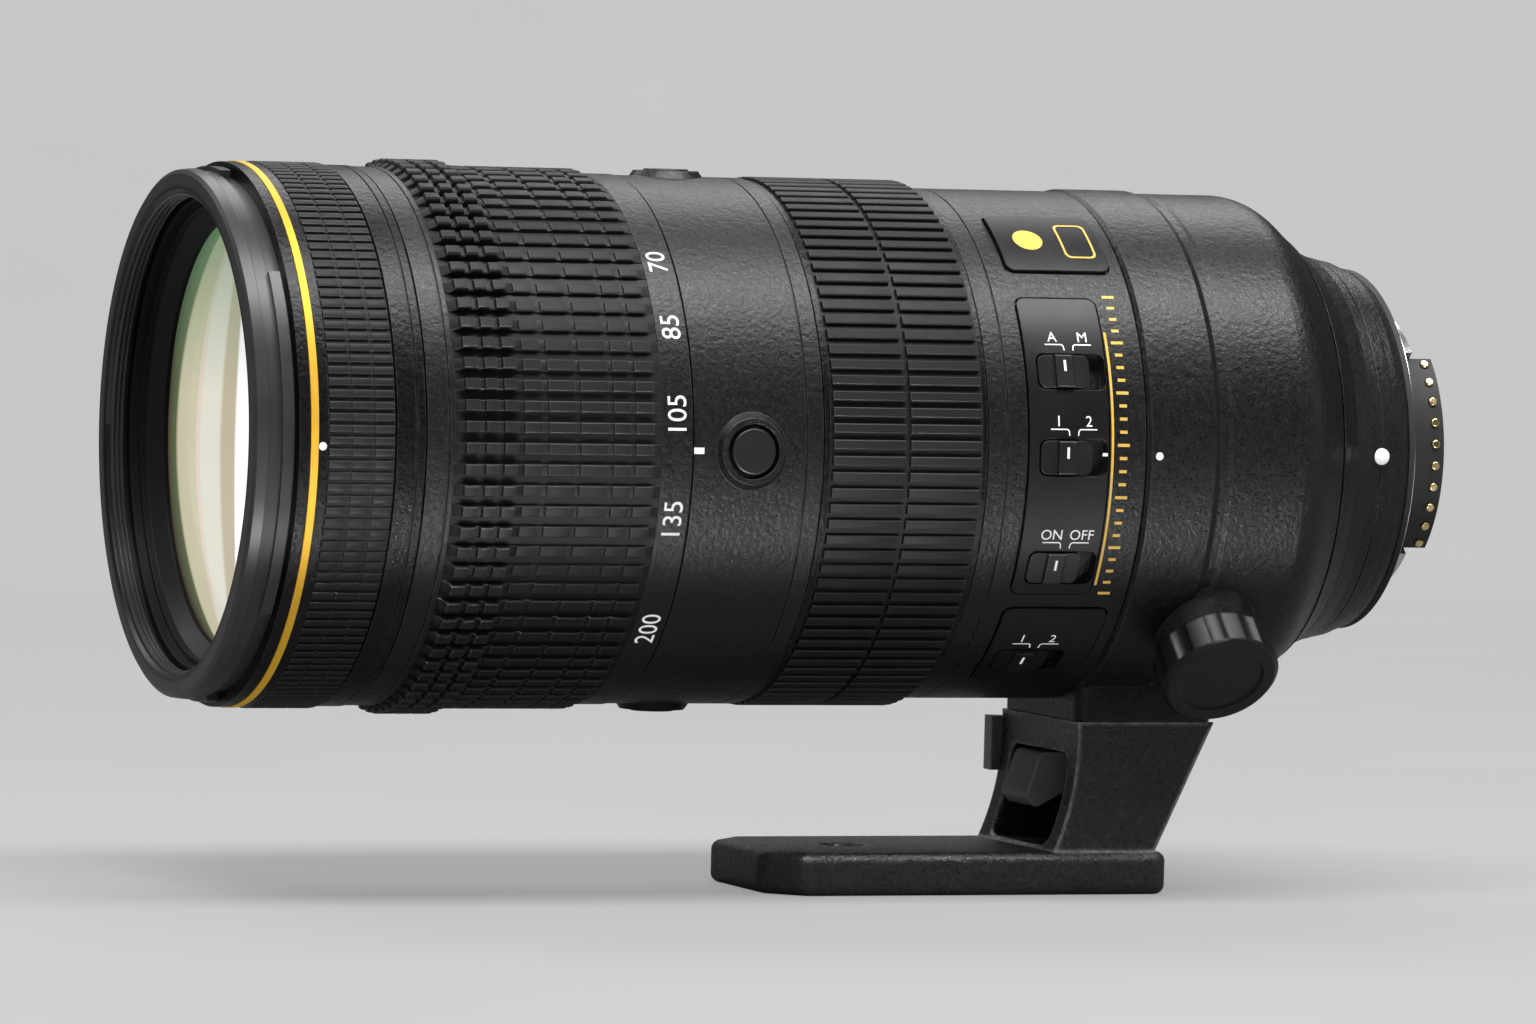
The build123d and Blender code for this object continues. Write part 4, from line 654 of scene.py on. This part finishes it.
# Rubber grips. Stations and radii are in mm; each row of blocks is its start, end, height
# and sill, which is the height of the groove's floor beside it.
zoomGripValues = {
    "start": -170.15,
    "end": -136.05,
    "root": 42.62,
    "seat": 42.2,
    "count": 82,
    "share": 0.5,  # block to pitch
    "columnBevel": 0.045,
    "rowBevel": 0.16,
    "offset": 0.0385,
    "rows": (
        (-168.9, -166.35, 1.63, 0.9),
        (-165.6, -163.35, 1.63, 0.9),
        (-162.55, -160.2, 1.63, 0.9),
        (-159.0, -155.85, 0.78, 0.42),
        (-155.0, -150.3, 0.78, 0.42),
        (-149.7, -144.85, 0.78, 0.42),
        (-144.25, -141.2, 0.78, 0.42),
        (-140.6, -137.4, 0.78, 0.42),
    ),
}
focusGripValues = {
    "start": -107.45,
    "end": -81.55,
    "root": 42.02,
    "seat": 41.5,
    "count": 104,
    "share": 0.55,
    "columnBevel": 0.05,
    "rowBevel": 0.14,
    "offset": 0.0,
    "rows": ((-107.2, -94.75, 0.72, 0.0), (-94.1, -81.8, 0.72, 0.0)),
}
frontGripValues = {
    "start": -190.95,
    "end": -180.15,
    "root": 42.95,
    "seat": 42.6,
    "count": 148,
    "share": 0.56,
    "columnBevel": 0.07,
    "rowBevel": 0.1,
    "offset": 0.0,
    "rows": (
        (-190.9, -187.45, 0.43, 0.2),
        (-187.15, -183.75, 0.43, 0.2),
        (-183.45, -180.2, 0.43, 0.2),
    ),
}


blockShape = {
    "ends": 0.02,  # width of the two end faces of a grip
    "rounding": 2.2,  # the top starts this many bevels in
    "shoulder": 0.06,  # height lost at the bevel, along the axis
    "shoulderShare": 0.88,  # height kept at the bevel, around
    "rowShadeAndSheen": (0.2, 0.9, 0.5),  # mask of painted shade and highlight at the foot, bevel and top
    "columnShadeAndSheen": (1.0, 0.5, 0.45),  # mask of painted shade and highlight at the bevel, beside it and middle
}


def rowProfile(values):
    # height, and the mask of painted groove shade and edge highlight, along the axis: each row
    # climbs from its sill over a bevel to its height
    start, end, bevel = values["start"], values["end"], values["rowBevel"]
    ends, inset = blockShape["ends"], values["rowBevel"] * blockShape["rounding"]
    wear = [*blockShape["rowShadeAndSheen"], *blockShape["rowShadeAndSheen"][::-1]]
    stations, heights, shadeAndSheenValues = [start, start + ends], [0.0, 0.0], [0.0, 0.0]
    for low, high, height, sill in values["rows"]:
        shoulder = height - blockShape["shoulder"]
        stations += [low, low + bevel, low + inset, high - inset, high - bevel, high]
        heights += [sill, shoulder, height, height, shoulder, sill]
        shadeAndSheenValues += wear
    stations += [end - ends, end]
    heights += [0.0, 0.0]
    shadeAndSheenValues += [0.0, 0.0]
    return np.array(stations), np.array(heights), np.array(shadeAndSheenValues)


def columnProfile(values):
    # share of the height, and the mask of painted groove shade and edge highlight, around: one
    # block and one groove to a pitch of 2 pi / count
    bevel, edge = values["columnBevel"], (1 - values["share"]) / 2
    first = [0.0, edge - bevel, edge, edge + bevel, 0.5]
    shares = np.array(first + [1 - edge - bevel, 1 - edge, 1 - edge + bevel])
    shoulder = blockShape["shoulderShare"]
    heights = [0.0, 0.0, shoulder, 1.0, 1.0, 1.0, shoulder, 0.0]
    atBevel, beside, middle = blockShape["columnShadeAndSheen"]
    shadeAndSheenValues = [0.0, 0.0, atBevel, beside, middle, beside, atBevel, 0.0]
    count = values["count"]
    angles = ((np.arange(count)[:, None] + shares[None]) * 2 * np.pi / count).reshape(-1)
    return angles + values["offset"], np.tile(heights, count), np.tile(shadeAndSheenValues, count)


def grip(name, node, body, values):
    # radius = root + height along the axis * share around it, and the ends sit on the seat
    stations, along, shadeAndSheenAlong = rowProfile(values)
    angles, around, shadeAndSheenAround = columnProfile(values)
    radius = values["root"] + along[:, None] * around[None]
    radius[0] = radius[-1] = values["seat"]
    # mask for painted shade in the grooves and a painted highlight on the blocks' edges
    raised = (around[None] > 0.5) * (along[:, None] > 0)
    wear = raised * np.maximum(shadeAndSheenAlong[:, None], shadeAndSheenAround[None] * 0.95)
    points = onRing(stations[:, None], angles[None], radius).reshape(-1, 3) * mm
    faces = gridFaces(*radius.shape, closed=True)
    piece = newObject(name, points, faces, materials["rubber"], 28)
    layer = piece.data.attributes.new("wear", "FLOAT", "POINT")
    layer.data.foreach_set("value", wear.reshape(-1).astype(np.float32))
    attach(piece, body)
    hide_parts(node)


grip("zoomGripRubber", "zoom_grip", "zoom", zoomGripValues)
grip("focusGripRubber", "focus_grip", "focus", focusGripValues)
grip("frontGripRubber", "front_grip", "barrel", frontGripValues)
print("grips done")


def curved(flat, spot):
    # flat is points (along X, height) in mm, wrapped round the ring at a spot, which is
    # (station, side angle in degrees, radius): angle = spot's angle + height / radius
    station, angle, radius = spot
    height = math.radians(angle) + flat[..., 1] / radius
    return onRing(station + flat[..., 0], height, np.full(height.shape, radius)) * mm


def inkText(name, body, text, spot, size, material, upright=True):
    # the outline of a text, scaled to its size in height and centred on the spot; an
    # upright text reads along X, and the other reads up the ring with its top to the front
    curve = bpy.data.curves.new(name, "FONT")
    curve.body = text
    curve.align_x = "CENTER"
    curve.resolution_u = 4
    holder = bpy.data.objects.new(name, curve)
    bpy.context.scene.collection.objects.link(holder)
    bpy.context.view_layer.update()
    made = bpy.data.meshes.new_from_object(holder)
    bpy.data.objects.remove(holder)
    points = np.empty(len(made.vertices) * 3)
    made.vertices.foreach_get("co", points)
    points = points.reshape(-1, 3)[:, :2]
    faces = [tuple(polygon.vertices) for polygon in made.polygons]
    bpy.data.meshes.remove(made)
    points -= (points.max(0) + points.min(0)) / 2
    points *= size / (points[:, 1].max() - points[:, 1].min())
    flat = points if upright else np.stack([-points[:, 1], points[:, 0]], axis=-1)
    piece = newObject(name, curved(flat, spot), faces, materials[material])
    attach(piece, body)


def inkShape(name, body, outline, spot, material, rows=2):
    # a band between two lists of points, such as a stroke's two sides or a disc's rings:
    # first * (1 - share) + second * share
    first, second = (np.asarray(side, float) for side in outline)
    shares = np.linspace(0, 1, rows)[:, None, None]
    flat = first[None] * (1 - shares) + second[None] * shares
    makePiece(name, curved(flat, spot), body, material)


def disc(radius, steps=28):
    # (cos, sin) * radius, and the same ring shrunk almost to its centre
    turn = np.linspace(0, 2 * np.pi, steps + 1)
    rim = np.stack([np.cos(turn), np.sin(turn)], axis=-1) * radius
    return rim * 0.0001, rim


def bar(width, height, steps=6):
    # the two long sides of a rectangle, cut up so that it can follow a ring
    up = np.linspace(-height / 2, height / 2, steps)
    return [np.stack([np.full(steps, side * width / 2), up], axis=-1) for side in (-1, 1)]


def stroke(points, width):
    # a line of constant width through the points, with mitred corners: each point moves by
    # the mean of its two legs' normals over that mean's square
    path = np.asarray(points, float)
    legs = np.diff(path, axis=0)
    legs /= np.linalg.norm(legs, axis=1)[:, None]
    sides = np.stack([-legs[:, 1], legs[:, 0]], axis=-1)
    normals = np.concatenate([sides[:1], (sides[:-1] + sides[1:]) / 2, sides[-1:]])
    normals /= (normals**2).sum(1)[:, None]
    return path + normals * width / 2, path - normals * width / 2


def roundedLoop(width, height, corner, steps=6):
    # four quarter circles at the corners' centres, then each straight side cut into steps
    loop = []
    for quarter, side in enumerate([(1, 1), (-1, 1), (-1, -1), (1, -1)]):
        turn = np.linspace(0, np.pi / 2, steps) + quarter * np.pi / 2
        middle = np.array(side) * (np.array([width, height]) / 2 - corner)
        loop.append(middle + np.stack([np.cos(turn), np.sin(turn)], axis=-1) * corner)
    loop = np.concatenate(loop)
    ends = np.roll(loop, -1, axis=0)
    shares = np.linspace(0, 1, steps)[None, :-1, None]
    loop = (loop[:, None] * (1 - shares) + ends[:, None] * shares).reshape(-1, 2)
    return np.concatenate([loop, loop[:1]])


# Print stands this far above the surface that it is on
lift = 0.035

# Zoom scale: the numbers with their side angles at mid zoom
zoomScale = {
    "numbers": {"70": 43.3, "85": 26.7, "105": 7.9, "135": -14.6, "200": -42.3},
    "station": -133.5,
    "radius": 42.65 + lift,
    "size": 3.15,
}
for text, angle in zoomScale["numbers"].items():
    spot = (zoomScale["station"], angle, zoomScale["radius"])
    inkText(f"zoomNumber{text}", "zoom", text, spot, zoomScale["size"], "white", False)

# White marks: the body, the outline and the spot
whiteMarks = {
    "zoomIndex": ("barrel", bar(1.7, 1.0), (-129.75, 0.0, 42.5 + lift)),
    "frontDot": ("barrel", disc(0.65), (-191.95, 0.0, 43.2 + lift)),
    "collarDot": ("collar", disc(0.65), (-51.0, 0.0, 41.9 + lift)),
    "housingTick": ("barrel", bar(0.9, 0.5), (-60.4, 0.2, 41.75 + lift)),
}
for name, (body, outline, spot) in whiteMarks.items():
    inkShape(name, body, outline, spot, "white")

# The large dot on the rear cone stands up like a bead: rings of it, and their heights
mountDot = {
    "spot": (-7.35, 0.0, 31.75),
    "radius": 1.4,
    "rise": 0.45,
    "steps": 32,
    "rings": (1.0, 0.96, 0.8, 0.55, 0.25, 0.01),
    "domes": (-2.0, 0.1, 0.55, 0.85, 0.98, 1.0),
}
turns = -np.arange(mountDot["steps"]) * 2 * np.pi / mountDot["steps"]
reach = np.array(mountDot["rings"])[:, None] * mountDot["radius"]
station, _, ringRadius = mountDot["spot"]
domed = ringRadius + np.array(mountDot["domes"])[:, None] * mountDot["rise"]
beadPoints = onRing(station + reach * np.cos(turns), reach * np.sin(turns) / ringRadius, domed)
makePiece("mountDot", beadPoints * mm, "barrel", "white", closed=True)

# Gold line and scale marks beside the panels
goldScale = {
    "radius": 41.5 + lift,
    "lineStation": -59.0,
    "lineEnds": (-22.0, 20.3),  # mm up the ring
    "lineWidth": 0.42,
    "tickStation": -57.1,
    "ticks": 25,
    "firstAngle": -32.5,
    "pitch": 2.9,
    "long": 2.1,  # every fourth tick
    "short": 1.3,
    "tickWidth": 0.5,
}
goldPath = np.linspace(*((0.0, height) for height in goldScale["lineEnds"]), 24)
goldSpot = (goldScale["lineStation"], 0.0, goldScale["radius"])
inkShape("goldLine", "barrel", stroke(goldPath, goldScale["lineWidth"]), goldSpot, "goldInk")
for number in range(goldScale["ticks"]):
    angle = goldScale["firstAngle"] + number * goldScale["pitch"]
    length = goldScale["short"] if number % 4 else goldScale["long"]
    spot = (goldScale["tickStation"], angle, goldScale["radius"])
    inkShape(
        f"goldTick{number}", "barrel", bar(length, goldScale["tickWidth"], 3), spot, "goldInk"
    )

# Gold spot and empty outline on the top panel
badge = {
    "radius": 42.05 + lift,
    "angle": 53.6,
    "frameStation": -59.7,
    "frame": (5.4, 8.6, 1.1),  # width, height and corner
    "inner": (0.87, 0.92),  # inner side of the frame as a share of the outer
    "spotStation": -67.9,
    "spotRadius": 2.5,
}
loop = roundedLoop(*badge["frame"])
frameSpot = (badge["frameStation"], badge["angle"], badge["radius"])
inkShape("badgeFrame", "barrel", (loop, loop * badge["inner"]), frameSpot, "goldInk")
badgeSpot = (badge["spotStation"], badge["angle"], badge["radius"])
inkShape("badgeSpot", "barrel", disc(badge["spotRadius"], 40), badgeSpot, "goldInk", 6)
print("marks done")

# Switch labels: a pair of brackets over each slot, a letter or number over each, and a
# line on the slider. Each switch has its slot's side angle and its two labels.
switchMarks = {
    "focus_mode_switch": (18.5, "A", "M"),
    "focus_limit_switch": (-0.6, "1", "2"),
    "stabiliser_switch": (-25.9, "ON", "OFF"),
    "stabiliser_mode_switch": (-54.0, "1", "2"),
}
labels = {
    "radius": 41.75 + lift,
    "station": -65.8,
    "bracketAngle": 4.85,  # degrees above the slot
    "bracket": ((0.75, 0.0), (0.85, 0.75), (1.15, 1.0), (4.0, 1.0)),
    "bracketWidth": 0.2,
    "textSide": 2.6,
    "textAngle": 8.05,
    "textSize": 1.7,
    "line": (0.42, 2.3),
    "lineStation": -67.0,
    "lineAngle": 1.4,
    "lineRadius": 42.4 + lift,
}
for name, (angle, first, second) in switchMarks.items():
    for side, text in ((-1, first), (1, second)):
        hook = (np.array(labels["bracket"]) * (side, 1.0))[::-side]
        spot = (labels["station"], angle + labels["bracketAngle"], labels["radius"])
        hook = stroke(hook, labels["bracketWidth"])
        inkShape(f"{name}Bracket{side + 2}", "barrel", hook, spot, "white")
        spot = (
            labels["station"] + side * labels["textSide"],
            angle + labels["textAngle"],
            labels["radius"],
        )
        inkText(f"{name}Label{side + 2}", "barrel", text, spot, labels["textSize"], "white")
    spot = (labels["lineStation"], angle + labels["lineAngle"], labels["lineRadius"])
    inkShape(f"{name}Line", f"{name}_slider", bar(*labels["line"]), spot, "white")
print("labels done")

# Thread ridges inside the filter thread and the tripod hole
filterThread = {
    "axis": 0,
    "center": (0.0, 0.0),
    "start": -201.85,
    "end": -199.1,
    "pitch": 0.75,
    "radius": 38.05,
    "depth": 0.42,
    "steps": 96,
}
footThread = {
    "axis": 2,
    "center": (-87.4, 0.0),
    "start": -71.9,
    "end": -66.4,
    "pitch": 1.27,
    "radius": 3.93,
    "depth": 0.5,
    "steps": 40,
}
# share of the pitch along, and share of the depth
ridgeProfile = np.array([(-0.5, 0.0), (-0.12, 1.0), (0.12, 1.0), (0.5, 0.0)])


def threadRidges(name, body, values):
    # a helix: along = start + turns * pitch, radius = hole - ridge's share * depth, and the
    # ridge fades in and out over its first and last 1.5 radians
    turnsCount = (values["end"] - values["start"]) / values["pitch"]
    turn = np.linspace(0, turnsCount * 2 * np.pi, int(turnsCount * values["steps"]))
    along = values["start"] + turn[:, None] / (2 * np.pi) * values["pitch"]
    along = along + ridgeProfile[None, :, 0] * values["pitch"]
    fade = np.clip(np.minimum(turn, turn[-1] - turn) / 1.5, 0, 1)[:, None]
    radius = values["radius"] - ridgeProfile[None, :, 1] * values["depth"] * fade
    first = radius * np.cos(turn)[:, None] + values["center"][0]
    second = radius * np.sin(turn)[:, None] + values["center"][1]
    order = [first, second]
    order.insert(values["axis"], along)
    makePiece(name, np.stack(order, axis=-1)[:, ::-1] * mm, body, "thread")


threadRidges("filterThreadRidges", "barrel", filterThread)
threadRidges("footThreadRidges", "foot_body", footThread)

# Cross recesses in the mount screws, as painted shade: two flat dark strokes on each head
screwCross = {
    "screws": 4,
    "circle": 25.6,
    "first": 45,
    "turned": 23,
    "half": (0.95, 0.17),  # half length and half width of a stroke
    "proud": 0.03,
}
for number in range(screwCross["screws"]):
    angle = math.radians(screwCross["first"] + 360 / screwCross["screws"] * number)
    middle = np.array([math.cos(angle), math.sin(angle)]) * screwCross["circle"]
    for stroked in range(2):
        tilt = angle + math.radians(90 * stroked + screwCross["turned"])
        along = np.array([math.cos(tilt), math.sin(tilt)]) * screwCross["half"][0]
        aside = np.array([-math.sin(tilt), math.cos(tilt)]) * screwCross["half"][1]
        corners = np.array([[middle + along * a + aside * b for b in (-1, 1)] for a in (1, -1)])
        flat = np.concatenate([np.full((2, 2, 1), -screwCross["proud"]), corners], axis=-1)
        makePiece(f"screwCross{number}{stroked}", flat * mm, "barrel", "hole")
print("threads done")


# Floor and backdrop in one sweep, in metres
sweep = {
    "floor": -0.0725,
    "front": -1.6,
    "turn": 1.5,  # where the floor starts to rise
    "round": 0.9,  # radius of that rise
    "top": 2.6,
    "half": 3.2,
    "dark": (0.285, 0.285, 0.288),
    "light": (0.325, 0.325, 0.328),
    "glowDark": (0.55, 0.55, 0.555),
    "glowLight": (0.6, 0.6, 0.605),
    "glowNear": 0.5,  # share of the glow that the camera sees near the lens
    "glowDepth": (0.15, 0.9),  # behind the lens that share grows to all of it
    "dimmed": 0.55,  # how much darker the sweep is in reflections
}
graph = newLook("paleStage")
speckle = graph.noise(7.0, 4.0)
lit = graph.surface(
    Base_Color=graph.blend(speckle, sweep["dark"], sweep["light"]),
    Roughness=0.75,
    Specular_IOR_Level=0.1,
)
glow = graph.surface(
    Base_Color=black,
    Specular_IOR_Level=0.0,
    Emission_Color=graph.blend(speckle, sweep["glowDark"], sweep["glowLight"]),
    Emission_Strength=1.0,
)
dark = graph.surface(Base_Color=black, Specular_IOR_Level=0.0)
far = graph.coordinate(1).between(*sweep["glowDepth"])
glowShare = graph.ray("Is Camera Ray") * (far * (1 - sweep["glowNear"]) + sweep["glowNear"])
shown = graph.mixed(glowShare, lit, glow)
stageMaterial = graph.finish(
    graph.mixed(graph.ray("Is Glossy Ray") * sweep["dimmed"], shown, dark)
)

# the path runs back along the floor, up a quarter circle and to the top
bend = np.linspace(0, np.pi / 2, 24)
floorY = np.linspace(sweep["front"], sweep["turn"], 12)[:-1]
pathY = np.concatenate([floorY, sweep["turn"] + sweep["round"] * np.sin(bend)])
pathZ = np.concatenate([floorY * 0, sweep["round"] * (1 - np.cos(bend))]) + sweep["floor"]
pathY, pathZ = np.append(pathY, pathY[-1]), np.append(pathZ, sweep["top"])
acrossX = np.linspace(-sweep["half"], sweep["half"], 9)[:, None]
stagePoints = np.stack(np.broadcast_arrays(acrossX, pathY[None], pathZ[None]), axis=-1)
stageFaces = gridFaces(*stagePoints.shape[:2])
floor = newObject("stageSweep", stagePoints.reshape(-1, 3), stageFaces, stageMaterial)

# Lamps: the low box and the foot's box only add highlights under the lens
lamps = {
    "topBox": {
        "place": (-0.1, -0.42, 1.1),
        "target": (-0.1, 0.0, -0.05),
        "size": (1.7, 0.42),
        "power": 33.0,
    },
    "frontBox": {
        "place": (-1.0, -1.2, 0.35),
        "target": (-0.15, 0.0, -0.02),
        "size": (0.6, 0.9),
        "power": 1.0,
    },
    "sideBox": {
        "place": (1.2, -0.7, 0.3),
        "target": (-0.1, 0.0, 0.0),
        "size": (0.4, 0.9),
        "power": 1.0,
    },
    "farBox": {
        "place": (-0.1, 0.9, 1.0),
        "target": (-0.1, 0.1, -0.1),
        "size": (2.0, 0.6),
        "power": 14.0,
    },
    "lowBox": {
        "place": (-0.1, -0.1, -0.07),
        "target": (-0.1, -0.035, 0.03),
        "size": (0.5, 0.04),
        "power": 0.34,
        "spread": 46,
        "diffuse": False,
    },
    "footBox": {
        "place": (-0.13, -0.26, 0.19),
        "target": (-0.085, -0.016, -0.066),
        "size": (0.3, 0.02),
        "power": 0.045,
        "spread": 6,
        "diffuse": False,
    },
}
for name, lamp in lamps.items():
    light = bpy.data.lights.new(name, "AREA")
    light.shape = "RECTANGLE"
    light.size, light.size_y = lamp["size"]
    light.energy = lamp["power"]
    light.spread = math.radians(lamp.get("spread", 180))
    holder = bpy.data.objects.new(name, light)
    bpy.context.scene.collection.objects.link(holder)
    holder.location = lamp["place"]
    direction = Vector(lamp["target"]) - Vector(lamp["place"])
    holder.rotation_mode = "QUATERNION"
    holder.rotation_quaternion = direction.to_track_quat("-Z", "Y")
    holder.visible_camera = False
    holder.visible_diffuse = lamp.get("diffuse", True)

# The surroundings are dim in reflections and brighter as soft fill
studio = {"color": (0.93, 0.94, 0.96), "reflected": 0.05, "fill": 0.4}
world = bpy.data.worlds.new("studio")
graph = Graph(world)
strength = graph.ray("Is Diffuse Ray") * studio["fill"] + studio["reflected"]
sky = graph.node("ShaderNodeBackground", {"Color": studio["color"], "Strength": strength})
bpy.context.scene.world = graph.finish(sky, "ShaderNodeOutputWorld")
bpy.context.scene.view_settings.view_transform = "Standard"

# The photograph's view: angles in degrees, distances in metres, lens in mm
shot = {
    "azimuth": -20.97,
    "elevation": 2.5,
    "distance": 1.5,
    "target": (-0.10166, 0.0, -0.01148),
    "roll": 1.53,
    "lens": 9258 / 1536 * 36,  # pixels of focal length over the frame's width
    "clip": (0.05, 30.0),
}
azimuth, elevation = math.radians(shot["azimuth"]), math.radians(shot["elevation"])
back = Vector(
    (
        math.sin(azimuth) * math.cos(elevation),
        -math.cos(azimuth) * math.cos(elevation),
        math.sin(elevation),
    )
)
cameraData = bpy.data.cameras.new("shotCamera")
cameraData.lens = shot["lens"]
cameraData.clip_start, cameraData.clip_end = shot["clip"]
camera = bpy.data.objects.new("shotCamera", cameraData)
bpy.context.scene.collection.objects.link(camera)
right = (-back).cross(Vector((0, 0, 1))).normalized()
up = right.cross(-back)
roll = math.radians(shot["roll"])
rolledRight = right * math.cos(roll) + up * math.sin(roll)
rolledUp = -right * math.sin(roll) + up * math.cos(roll)
camera.rotation_mode = "QUATERNION"
camera.rotation_quaternion = Matrix((rolledRight, rolledUp, back)).transposed().to_quaternion()
camera.location = Vector(shot["target"]) + back * shot["distance"]
bpy.context.scene.camera = camera
print("stage, lights and camera done")
